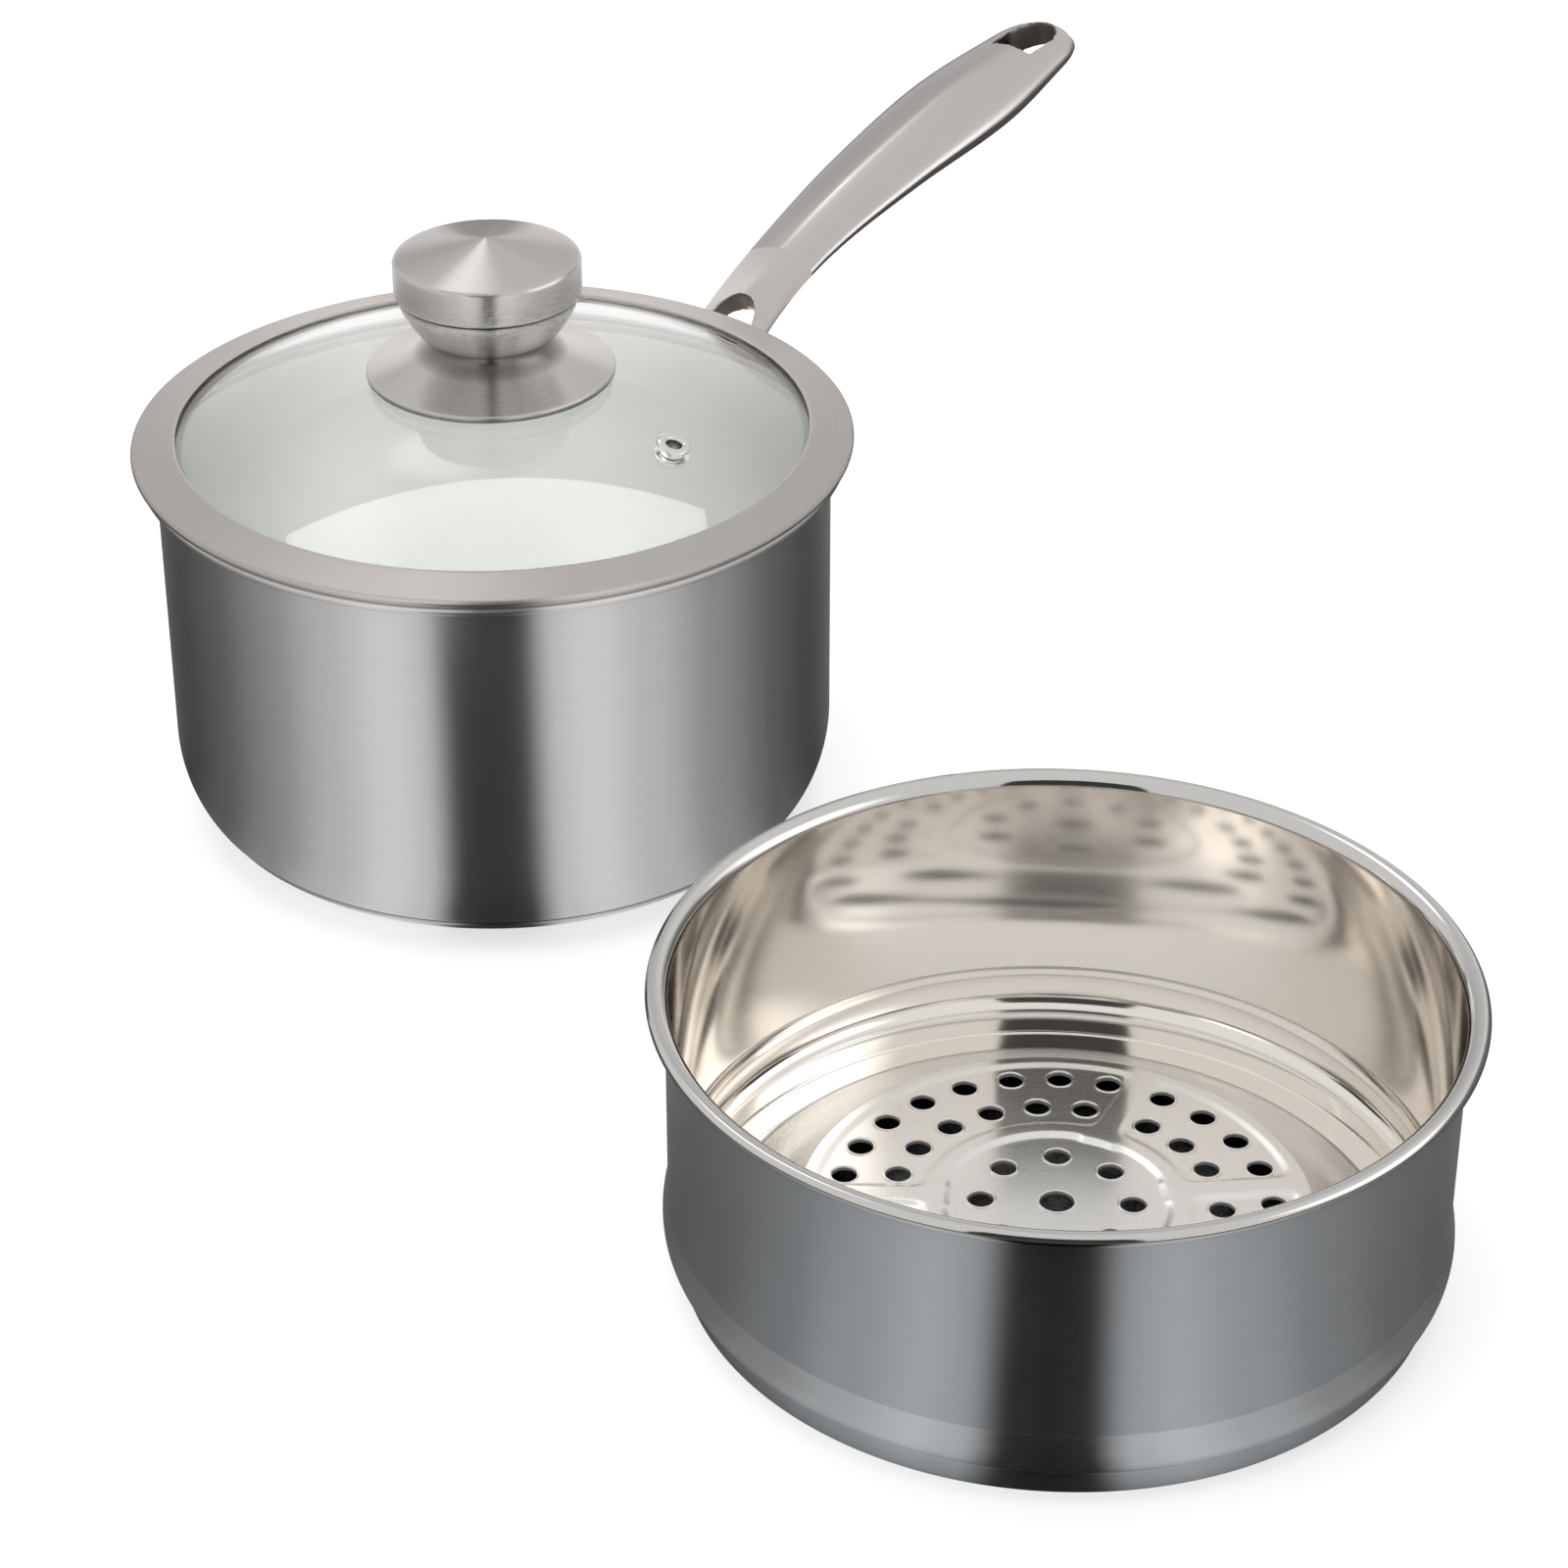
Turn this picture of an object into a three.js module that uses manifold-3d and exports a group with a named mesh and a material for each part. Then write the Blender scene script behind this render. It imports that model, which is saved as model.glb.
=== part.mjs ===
// Stainless milk pan with a glass lid and a steamer insert, in millimetres, +Z up.
// The origin is the centre of the pan's flat base, and the handle reaches along +X.
import * as THREE from "three";
import { mergeVertices } from "three/addons/utils/BufferGeometryUtils.js";
import Module from "manifold-3d";

// Pan vessel
const PAN_INNER_RADIUS = 90;
const PAN_SHEET = 0.8;
const PAN_HEIGHT = 108;
const PAN_LIP_WIDTH = 4.7;
const PAN_LIP_BEND = 3;

// Capsule base under the vessel
const BASE_CORNER_WIDTH = 19.8;
const BASE_CORNER_HEIGHT = 27;
const BASE_THICKNESS = 6.4;
const BASE_CAP_SHEET = 0.6;
const BASE_SEAM_GAP = 0.4;
const BASE_FLOOR_BEND = 3;

// Handle line: it leaves the pan steeply and levels out towards the tip
const HANDLE_ROOT_DROP = 14.5;
const HANDLE_REACH = 171.5;
const HANDLE_RISE = 52.8;
const HANDLE_STEEP_REACH = 20.4;
const HANDLE_STEEP_RISE = 30.2;
const HANDLE_LEVEL_REACH = 107.1;
const HANDLE_LEVEL_RISE = 43.6;

// Handle section: half widths and half depths at even stations from the pan to the tip
const HANDLE_HALF_WIDTHS = [11.8, 11.8, 15.2, 17.6, 13];
const HANDLE_HALF_DEPTHS = [4.9, 5.6, 8.2, 10.6, 7];
const HANDLE_CROWN_SHARE = 0.52;
const HANDLE_RIDGE_SHARE = 0.4;
const HANDLE_ROOT_SHARE = 0.12;
const HANDLE_TIP_SHARE = 0.07;
const HANDLE_TIP_POWER = 2.4;
const HANDLE_TIP_WIDTH_SHARE = 0.5;
const HANDLE_TIP_DEPTH_SHARE = 0.55;
const HANDLE_WALL = 2;

// Fork at the pan, web behind it, and hanging eye at the tip
const FORK_START = 4;
const FORK_LENGTH = 21;
const FORK_HALF_WIDTH = 7;
const FORK_WEB = 11;
const EYE_LENGTH = 20;
const EYE_HALF_WIDTH = 7;
const EYE_END_WALL = 1.8;

// Pad that fixes the handle to the wall
const PAD_THICKNESS = 2.6;
const PAD_WIDTH = 33;
const PAD_DROP = 20.6;
const PAD_TOP_MARGIN = 1.5;
const PAD_CORNER = 7;
const SEAT_GAP = 0.3;

// Lid ring and glass
const LID_OVERHANG = 1.5;
const LID_MOUTH_CLEARANCE = 0.8;
const LID_SKIRT_DEPTH = 6.5;
const LID_RING_SHEET = 0.7;
const LID_RING_RISE = 3;
const LID_HEM = 2.3;
const LID_GLASS_LAP = 4.2;
const GLASS_THICKNESS = 4;
const GLASS_DOME_RADIUS = 200;
const GLASS_LEDGE_DROP = 2.1;
const GLASS_HOLE_RADIUS = 4.6;

// Steam vent in the glass, midway between the knob and the ring
const VENT_ANGLE = -86;
const VENT_BORE_RADIUS = 2.05;
const VENT_TUBE_WALL = 0.75;
const VENT_FLANGE_WIDTH = 1.95;
const VENT_FLANGE_HEIGHT = 0.9;
const VENT_CLOSED_WIDTH = 1.05;
const VENT_WASHER_THICKNESS = 0.45;
const VENT_GLASS_CLEARANCE = 0.3;

// Knob
const KNOB_SHEET = 0.9;
const KNOB_BASE_RADIUS = 33.2;
const KNOB_BASE_EDGE = 2;
const KNOB_BASE_HEIGHT = 11.3;
const KNOB_FLARE_SHARE = 0.42;
const KNOB_NECK_RADIUS = 15.8;
const KNOB_CUP_FOOT_RADIUS = 18.2;
const KNOB_CUP_RADIUS = 24.1;
const KNOB_CUP_HEIGHT = 11.8;
const KNOB_CUP_WALL = 1.8;
const KNOB_BOWL_SHARE = 0.72;
const KNOB_COLLAR_INSET = 1.35;
const KNOB_COLLAR_HEIGHT = 2;
const KNOB_CAP_STEP = 0.9;
const KNOB_BAND_HEIGHT = 10.2;
const KNOB_CONE_HEIGHT = 5.2;
const KNOB_EDGE_ROUND = 1.4;
const KNOB_EDGE_SWEEP = 70;
const GASKET_WIDTH = 4.4;
const GASKET_RECESS = 1;
const GASKET_DOME_GAP = 0.2;

// Screw from below the glass
const SCREW_RADIUS = 2.4;
const SCREW_CLEARANCE = 0.3;
const SCREW_HEAD_RADIUS = 5;
const SCREW_HEAD_HEIGHT = 2.8;
const SCREW_SLOT_WIDTH = 1.2;
const SCREW_SLOT_DEPTH = 1.3;
const SCREW_REACH = 8.5;
const LOWER_GASKET_RADIUS = 10;
const LOWER_GASKET_THICKNESS = 1.3;
const SCREW_WASHER_RADIUS = 9;
const SCREW_WASHER_THICKNESS = 0.8;
const INSERT_WALL = 3.6;
const INSERT_END = 2;

// Steamer insert, standing beside the pan
const STEAMER_STAND_ANGLE = -108.8;
const STEAMER_STAND_GAP = 63.7;
const STEAMER_MOUTH_CLEARANCE = 0.7;
const STEAMER_SHEET = 0.8;
const STEAMER_HEIGHT = 75.6;
const STEAMER_WALL_STEP = 2.6;
const STEAMER_BEAD_PROUD = 1.5;
const STEAMER_SKIRT_HEIGHT = 6.8;
const STEAMER_BEAD_HEIGHT = 12.4;
const STEAMER_BEAD_CREST_SHARE = 0.55;
const STEAMER_RIM_WIDTH = 4.5;
const STEAMER_RIM_ROLL = 1.5;
const STEAMER_FLARE_DROP = 3;
const STEAMER_FOOT_ROUND = 4;
const STEAMER_FOOT_WIDTH = 5;
const PLATE_SLOPE_WIDTH = 19.3;
const PLATE_RISE = 11;
const PLATE_CROWN = 1.3;

// Steam holes: angles in degrees, and each sector's count of holes in the outer row
const CENTRE_HOLE_RADIUS = 4.1;
const HOLE_RADIUS = 3.1;
const HOLE_BRIDGE = 2;
const CENTRE_RING_RADIUS = 18;
const CENTRE_RING_COUNT = 8;
const CENTRE_RING_ANGLE = 34;
const OUTER_ROW_INSET = 9.5;
const ROW_SPACING = 12.5;
const INNER_PITCH = 17.2;
const SPOKE_GAP = 16;
const INNER_SPOKE_GAP = 24;
const FIRST_SPOKE_ANGLE = 12;
const SECTOR_COUNTS = [8, 6, 8, 4];
const FULL_TURN = 360;

// Fineness of the facets
const WIDE_SEGMENTS = 44;
const SMALL_SEGMENTS = 28;
const TINY_SEGMENTS = 16;
const HOLE_SEGMENTS = 8;
const ARC_STEPS = 4;
const SHORT_ARC_STEPS = 2;
const HANDLE_SECTIONS = 22;
const HANDLE_SIDES = 16;
const CAVITY_SECTIONS = 8;
const CAVITY_SIDES = 8;
const GLASS_RINGS = 6;
const PLATE_RINGS = 3;
const MERGE_DISTANCE = 1e-4;
const DOME_SWEEP = 60;

// Colours of the finishes
const BRUSHED = 0xb9b6b1;
const POLISHED = 0xc9c4bd;
const ALUMINIUM = 0xa8abae;
const SILICONE = 0xe4e2dc;
const GLASS = 0xe3ebe6;

// Shared radii and levels of the pan
const wallOuter = PAN_INNER_RADIUS + PAN_SHEET;
const lipRadius = wallOuter + PAN_LIP_WIDTH;
const baseFlatRadius = wallOuter - BASE_CORNER_WIDTH;
const handleRoot = PAN_HEIGHT - HANDLE_ROOT_DROP;
const padInner = wallOuter + SEAT_GAP;
const padOuter = padInner + PAD_THICKNESS;

// Shared radii and levels of the lid
const lidRadius = lipRadius + LID_OVERHANG;
const skirtRadius = PAN_INNER_RADIUS - LID_MOUTH_CLEARANCE;
const sightRadius = skirtRadius - LID_GLASS_LAP;
const channelRadius = skirtRadius - SEAT_GAP;
const glassRadius = channelRadius - SEAT_GAP;
const ledgeTop = PAN_HEIGHT - GLASS_LEDGE_DROP;
const domeSag = (radius, sphere) => sphere - Math.sqrt(sphere * sphere - radius * radius);
const glassUnderApex = ledgeTop + SEAT_GAP + domeSag(glassRadius, GLASS_DOME_RADIUS);
const domeUnder = (radius) => glassUnderApex - domeSag(radius, GLASS_DOME_RADIUS);
const domeTop = (radius) =>
  glassUnderApex + GLASS_THICKNESS - domeSag(radius, GLASS_DOME_RADIUS + GLASS_THICKNESS);
const ventRadius = (KNOB_BASE_RADIUS + sightRadius) / 2;
const ventTubeRadius = VENT_BORE_RADIUS + VENT_TUBE_WALL;
const ventFlangeRadius = ventTubeRadius + VENT_FLANGE_WIDTH;
const ventBore = ventTubeRadius + VENT_GLASS_CLEARANCE;

// Shared radii and levels of the knob and its screw
const gasketOuter = KNOB_BASE_RADIUS - KNOB_SHEET;
const knobBaseBottom = domeTop(gasketOuter) + GASKET_DOME_GAP;
const gasketTop = knobBaseBottom + GASKET_RECESS;
const knobSeat = knobBaseBottom + KNOB_BASE_HEIGHT;
const knobSeam = knobSeat + KNOB_CUP_HEIGHT;
const knobShoulder = knobSeam + KNOB_BAND_HEIGHT;
const collarRadius = KNOB_CUP_RADIUS - KNOB_COLLAR_INSET;
const knobCapRadius = KNOB_CUP_RADIUS + KNOB_CAP_STEP;
const insertBottom = knobSeat + KNOB_SHEET;
const screwBore = SCREW_RADIUS + SCREW_CLEARANCE;
const lowerGasketTop = domeUnder(LOWER_GASKET_RADIUS) - GASKET_DOME_GAP;
const screwWasherTop = lowerGasketTop - LOWER_GASKET_THICKNESS;
const screwHeadTop = screwWasherTop - SCREW_WASHER_THICKNESS;

// Shared radii of the steamer
const steamerSkirtRadius = PAN_INNER_RADIUS - STEAMER_MOUTH_CLEARANCE;
const steamerWallRadius = steamerSkirtRadius + STEAMER_WALL_STEP;
const steamerBeadRadius = steamerWallRadius + STEAMER_BEAD_PROUD;
const steamerRimRadius = steamerWallRadius + STEAMER_RIM_WIDTH;
const footOuter = steamerSkirtRadius - STEAMER_FOOT_ROUND;
const footInner = footOuter - STEAMER_FOOT_WIDTH;
const plateRadius = footInner - PLATE_SLOPE_WIDTH;
const outerRowRadius = plateRadius - OUTER_ROW_INSET;
const innerRowRadius = outerRowRadius - ROW_SPACING;
const steamerDistance = lidRadius + STEAMER_STAND_GAP + steamerRimRadius;

const wasm = await Module();
wasm.setup();

const metal = (color, roughness) =>
  new THREE.MeshStandardMaterial({ color, roughness, metalness: 1 });
const rubber = () =>
  new THREE.MeshStandardMaterial({ color: SILICONE, roughness: 0.7, metalness: 0 });

// Points of an elliptical arc, angles in degrees.
function arc(cx, cz, rx, rz, from, to, steps = ARC_STEPS) {
  const points = [];
  for (let i = 0; i <= steps; i += 1) {
    const a = THREE.MathUtils.degToRad(from + ((to - from) * i) / steps);
    points.push([cx + rx * Math.cos(a), cz + rz * Math.sin(a)]);
  }
  return points;
}

// A solid of revolution about Z from a profile of [radius, height] pairs.
// The profile starts and ends on the axis, or stays clear of it and is closed here.
function lathe(profile, segments) {
  const closed = profile[0][0] === 0 ? profile : [...profile, profile[0]];
  const points = closed.map(([radius, height]) => new THREE.Vector2(radius, height));
  if (THREE.ShapeUtils.isClockWise(points)) points.reverse();
  return new THREE.LatheGeometry(points, segments).rotateX(Math.PI / 2);
}

// A bar along Z through the origin, for boring holes.
function bar(radius, length, segments) {
  return new THREE.CylinderGeometry(radius, radius, length, segments).rotateX(Math.PI / 2);
}

// A closed solid through rings of points, each ring in the same order.
function loft(rings) {
  const sides = rings[0].length;
  const positions = rings.flat().flatMap((p) => [p.x, p.y, p.z]);
  const index = [];
  for (let r = 0; r + 1 < rings.length; r += 1) {
    for (let i = 0; i < sides; i += 1) {
      const j = (i + 1) % sides;
      const a = r * sides + i;
      const b = r * sides + j;
      const c = a + sides;
      const d = b + sides;
      index.push(a, b, d, a, d, c);
    }
  }
  const last = (rings.length - 1) * sides;
  for (let i = 1; i + 1 < sides; i += 1) {
    index.push(0, i + 1, i);
    index.push(last, last + i, last + i + 1);
  }
  const geometry = new THREE.BufferGeometry();
  geometry.setAttribute("position", new THREE.Float32BufferAttribute(positions, 3));
  geometry.setIndex(index);
  return geometry;
}

// A closed geometry as a boolean solid, without the triangles that merging flattens.
function solid(geometry) {
  const bare = geometry.clone();
  bare.deleteAttribute("normal");
  bare.deleteAttribute("uv");
  const merged = mergeVertices(bare, MERGE_DISTANCE);
  const corners = merged.index.array;
  const triVerts = [];
  for (let i = 0; i < corners.length; i += 3) {
    const [a, b, c] = corners.slice(i, i + 3);
    if (a !== b && b !== c && a !== c) triVerts.push(a, b, c);
  }
  const mesh = new wasm.Mesh({
    numProp: 3,
    vertProperties: merged.attributes.position.array,
    triVerts: new Uint32Array(triVerts),
  });
  return new wasm.Manifold(mesh);
}

// A boolean solid back as a geometry.
function geometryOf(made) {
  const mesh = made.getMesh();
  const positions = new Float32Array(mesh.numVert * 3);
  for (let i = 0; i < mesh.numVert; i += 1) {
    const start = i * mesh.numProp;
    positions.set(mesh.vertProperties.subarray(start, start + 3), i * 3);
  }
  const geometry = new THREE.BufferGeometry();
  geometry.setAttribute("position", new THREE.BufferAttribute(positions, 3));
  geometry.setIndex(new THREE.BufferAttribute(new Uint32Array(mesh.triVerts), 1));
  geometry.computeVertexNormals();
  return geometry;
}

// A solid with a list of cutting geometries taken out of it.
function cut(made, cutters) {
  return cutters.reduce((left, cutter) => left.subtract(solid(cutter)), made);
}

// A named mesh, the finished form of a piece.
function piece(name, geometry, material) {
  const mesh = new THREE.Mesh(geometry, material);
  mesh.name = name;
  return mesh;
}

// A point on the rounded base corner at a sweep angle, drawn in by a wall thickness.
function cornerPoint(angle, inset) {
  return [
    baseFlatRadius + (BASE_CORNER_WIDTH - inset) * Math.sin(angle),
    BASE_CORNER_HEIGHT - (BASE_CORNER_HEIGHT - inset) * Math.cos(angle),
  ];
}

// The sweep angle at which the corner, drawn in by an inset, reaches a height.
function cornerAngle(height, inset) {
  return Math.acos((BASE_CORNER_HEIGHT - height) / (BASE_CORNER_HEIGHT - inset));
}

// Points along the rounded corner between two sweep angles.
function corner(from, to, inset, steps) {
  return Array.from({ length: steps + 1 }, (_, i) =>
    cornerPoint(from + ((to - from) * i) / steps, inset),
  );
}

function panShell() {
  const floorOut = cornerAngle(BASE_THICKNESS, 0);
  const floorIn = cornerAngle(BASE_THICKNESS + PAN_SHEET, PAN_SHEET);
  const bendAngle = BASE_FLOOR_BEND / BASE_CORNER_WIDTH;
  const upright = Math.PI / 2;
  const [outX, outZ] = cornerPoint(floorOut, 0);
  const [inX, inZ] = cornerPoint(floorIn, PAN_SHEET);
  const lipStart = PAN_HEIGHT - PAN_SHEET - PAN_LIP_BEND;
  const bendCentre = wallOuter + PAN_LIP_BEND;
  const innerBend = PAN_LIP_BEND + PAN_SHEET;
  const profile = [
    [0, outZ],
    [outX - BASE_FLOOR_BEND, outZ],
    ...corner(floorOut + bendAngle, upright, 0, ARC_STEPS),
    ...arc(bendCentre, lipStart, PAN_LIP_BEND, PAN_LIP_BEND, 180, 90),
    [lipRadius, PAN_HEIGHT - PAN_SHEET],
    [lipRadius, PAN_HEIGHT],
    ...arc(bendCentre, lipStart, innerBend, innerBend, 90, 180),
    ...corner(upright, floorIn + bendAngle, PAN_SHEET, ARC_STEPS),
    [inX - BASE_FLOOR_BEND, inZ],
    [0, inZ],
  ];
  return lathe(profile, WIDE_SEGMENTS);
}

function baseCap() {
  const edge = cornerAngle(BASE_THICKNESS - BASE_SEAM_GAP, 0);
  const profile = [
    [0, 0],
    ...corner(0, edge, 0, SHORT_ARC_STEPS),
    ...corner(edge, 0, BASE_CAP_SHEET, SHORT_ARC_STEPS),
    [0, BASE_CAP_SHEET],
  ];
  return lathe(profile, WIDE_SEGMENTS);
}

function baseCore() {
  const inset = BASE_CAP_SHEET + BASE_SEAM_GAP;
  const [floorX] = cornerPoint(cornerAngle(BASE_THICKNESS, 0), 0);
  const side = corner(0, cornerAngle(BASE_THICKNESS, inset), inset, SHORT_ARC_STEPS);
  const most = floorX - BASE_FLOOR_BEND;
  const profile = [
    [0, BASE_CAP_SHEET],
    [baseFlatRadius - inset, BASE_CAP_SHEET],
    ...side.filter(([x]) => x < most),
    [most, BASE_THICKNESS],
    [0, BASE_THICKNESS],
  ];
  return lathe(profile, WIDE_SEGMENTS);
}

// A smooth value through even stations, at a share of the whole.
function stationValue(values, share) {
  const last = values.length - 1;
  const stations = values.map((value, i) => new THREE.Vector2(i / last, value));
  return new THREE.SplineCurve(stations).getPoint(share).y;
}

// The handle's centre line in the XZ plane.
function handleLine() {
  const root = new THREE.Vector2(wallOuter + PAD_THICKNESS / 2, handleRoot);
  const steep = new THREE.Vector2(HANDLE_STEEP_REACH, HANDLE_STEEP_RISE);
  const level = new THREE.Vector2(HANDLE_LEVEL_REACH, HANDLE_LEVEL_RISE);
  const tip = new THREE.Vector2(HANDLE_REACH, HANDLE_RISE);
  return new THREE.CubicBezierCurve(root, steep.add(root), level.add(root), tip.add(root));
}

// A section of the handle: its place, its up direction and its half sizes, drawn in by an inset.
function handleSection(line, share, inset) {
  const centre = line.getPointAt(share);
  const tangent = line.getTangentAt(share);
  const turn = THREE.MathUtils.smoothstep(share, 0, HANDLE_ROOT_SHARE);
  const angle = Math.atan2(tangent.y, tangent.x) * turn;
  const overTip = Math.max(0, 1 - (1 - share) / HANDLE_TIP_SHARE);
  const tip = Math.sqrt(Math.max(0, 1 - overTip ** HANDLE_TIP_POWER));
  const width = stationValue(HANDLE_HALF_WIDTHS, share);
  const depth = stationValue(HANDLE_HALF_DEPTHS, share);
  const belly = depth * THREE.MathUtils.lerp(HANDLE_TIP_DEPTH_SHARE, 1, tip);
  return {
    centre,
    up: new THREE.Vector2(-Math.sin(angle), Math.cos(angle)),
    width: width * THREE.MathUtils.lerp(HANDLE_TIP_WIDTH_SHARE, 1, tip) - inset,
    crown: belly * HANDLE_CROWN_SHARE - inset,
    belly: belly - inset,
  };
}

// The ring of points of a handle section: a crowned top with a soft ridge over a round belly.
function handleRing({ centre, up, width, crown, belly }, sides) {
  return Array.from({ length: sides }, (_, i) => {
    const a = (2 * Math.PI * i) / sides;
    const across = Math.cos(a);
    const round = Math.sin(a);
    const roof = THREE.MathUtils.lerp(round, 1 - Math.abs(across), HANDLE_RIDGE_SHARE);
    const rise = round > 0 ? crown * roof : belly * round;
    return new THREE.Vector3(centre.x + up.x * rise, width * across, centre.y + up.y * rise);
  });
}

// Rings of points along the handle between two shares of its length.
function handleRings(line, from, to, inset, sections, sides) {
  return Array.from({ length: sections + 1 }, (_, i) => {
    const share = from + ((to - from) * i) / sections;
    return handleRing(handleSection(line, share, inset), sides);
  });
}

// A prism through the handle at a share, from an outline of [along, across] pairs.
function throughHandle(line, share, outline) {
  const { centre, up, belly } = handleSection(line, share, 0);
  const depth = 4 * belly;
  const shape = new THREE.Shape(outline.map(([x, y]) => new THREE.Vector2(x, y)));
  const prism = new THREE.ExtrudeGeometry(shape, { depth, bevelEnabled: false });
  prism.translate(0, 0, -depth / 2);
  prism.rotateY(-Math.atan2(-up.x, up.y));
  return prism.translate(centre.x, 0, centre.y);
}

// The outline of an arch about its middle: square across towards the pan, round towards the tip.
function archOutline(length, halfWidth) {
  return [
    [-length / 2, -halfWidth],
    ...arc(0, 0, length / 2, halfWidth, -90, 90, ARC_STEPS * 2),
    [-length / 2, halfWidth],
  ];
}

// A rectangle standing on the X axis, with rounded corners.
function roundedFace(width, height, radius) {
  const side = width / 2 - radius;
  const top = height - radius;
  const face = new THREE.Shape();
  face.absarc(side, radius, radius, -Math.PI / 2, 0, false);
  face.absarc(side, top, radius, 0, Math.PI / 2, false);
  face.absarc(-side, top, radius, Math.PI / 2, Math.PI, false);
  face.absarc(-side, radius, radius, Math.PI, 1.5 * Math.PI, false);
  return face;
}

// The handle's pad: a plate that follows the pan's wall, with rounded corners.
function wallPad() {
  const top = handleRoot + HANDLE_HALF_DEPTHS[0] + PAD_TOP_MARGIN;
  const bottom = handleRoot - PAD_DROP;
  const height = top - bottom;
  const reach = PAD_WIDTH / padOuter;
  const plan = new THREE.Shape();
  plan.absarc(0, 0, padOuter, -reach, reach, false);
  plan.absarc(0, 0, padInner, reach, -reach, true);
  const plate = new THREE.ExtrudeGeometry(plan, {
    depth: height,
    bevelEnabled: false,
    curveSegments: ARC_STEPS * 2,
  });
  const outline = new THREE.ExtrudeGeometry(roundedFace(PAD_WIDTH, height, PAD_CORNER), {
    depth: padOuter,
    bevelEnabled: false,
    curveSegments: ARC_STEPS,
  });
  outline.rotateX(Math.PI / 2).rotateZ(Math.PI / 2).translate(padOuter / 2, 0, 0);
  return solid(plate).intersect(solid(outline)).translate([0, 0, bottom]);
}

// The space that the pan's wall takes, with the clearance that the handle keeps to it.
function wallSpace() {
  const profile = [
    [0, 0],
    [padInner, 0],
    [padInner, PAN_HEIGHT],
    [0, PAN_HEIGHT],
  ];
  return lathe(profile, WIDE_SEGMENTS * 2);
}

function handle() {
  const line = handleLine();
  const length = line.getLength();
  const forkShare = (FORK_START + FORK_LENGTH / 2) / length;
  const cavityShare = (FORK_START + FORK_LENGTH + FORK_WEB) / length;
  const eyeShare = 1 - (EYE_END_WALL + EYE_LENGTH / 2) / length;
  const grip = handleRings(line, 0, 1, 0, HANDLE_SECTIONS, HANDLE_SIDES);
  const cavity = handleRings(
    line,
    cavityShare,
    eyeShare,
    HANDLE_WALL,
    CAVITY_SECTIONS,
    CAVITY_SIDES,
  );
  const fork = archOutline(FORK_LENGTH, FORK_HALF_WIDTH);
  const eye = archOutline(EYE_LENGTH, EYE_HALF_WIDTH);
  const open = cut(solid(loft(grip)), [
    throughHandle(line, forkShare, fork),
    loft(cavity),
    throughHandle(line, eyeShare, eye),
  ]);
  return geometryOf(cut(open.add(wallPad()), [wallSpace()]));
}

function lidRing() {
  const HEM_START = 80;
  const top = PAN_HEIGHT + LID_RING_RISE;
  const inner = domeTop(sightRadius) + SEAT_GAP;
  const hemRadius = LID_HEM / 2;
  const seatEdge = lipRadius - SEAT_GAP;
  const skirtInner = skirtRadius - LID_RING_SHEET;
  const skirtBottom = PAN_HEIGHT - LID_SKIRT_DEPTH;
  const ledgeRadius = sightRadius - SEAT_GAP;
  const profile = [
    [sightRadius, inner],
    [sightRadius + SEAT_GAP, inner + LID_RING_SHEET],
    ...arc(lidRadius - hemRadius, top - hemRadius, hemRadius, hemRadius, HEM_START, -90),
    [seatEdge, top - LID_HEM],
    [seatEdge, PAN_HEIGHT],
    [skirtRadius + SEAT_GAP, PAN_HEIGHT],
    [skirtRadius, PAN_HEIGHT - SEAT_GAP],
    [skirtRadius, skirtBottom],
    [skirtInner, skirtBottom],
    [skirtInner, ledgeTop - LID_RING_SHEET],
    [ledgeRadius, ledgeTop - LID_RING_SHEET],
    [ledgeRadius, ledgeTop],
    [channelRadius, ledgeTop],
    [channelRadius, domeTop(glassRadius) + SEAT_GAP],
  ];
  return lathe(profile, WIDE_SEGMENTS);
}

// A place on the dome for the vent: the group's +Z is square to the glass.
function ventGroup() {
  const group = new THREE.Group();
  const angle = THREE.MathUtils.degToRad(VENT_ANGLE);
  const tilt = Math.asin(ventRadius / (GLASS_DOME_RADIUS + GLASS_THICKNESS));
  group.position.set(
    ventRadius * Math.cos(angle),
    ventRadius * Math.sin(angle),
    domeTop(ventRadius),
  );
  group.rotation.set(0, tilt, angle, "ZYX");
  group.updateMatrix();
  return group;
}

function lidGlass() {
  const radii = Array.from({ length: GLASS_RINGS + 1 }, (_, i) =>
    THREE.MathUtils.lerp(GLASS_HOLE_RADIUS, glassRadius, i / GLASS_RINGS),
  );
  const under = radii.map((r) => [r, domeUnder(r)]);
  const over = radii.map((r) => [r, domeTop(r)]).reverse();
  const bore = bar(ventBore, 4 * GLASS_THICKNESS, TINY_SEGMENTS);
  bore.applyMatrix4(ventGroup().matrix);
  const dome = solid(lathe([...under, ...over], WIDE_SEGMENTS));
  return geometryOf(cut(dome, [bore]));
}

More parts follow.
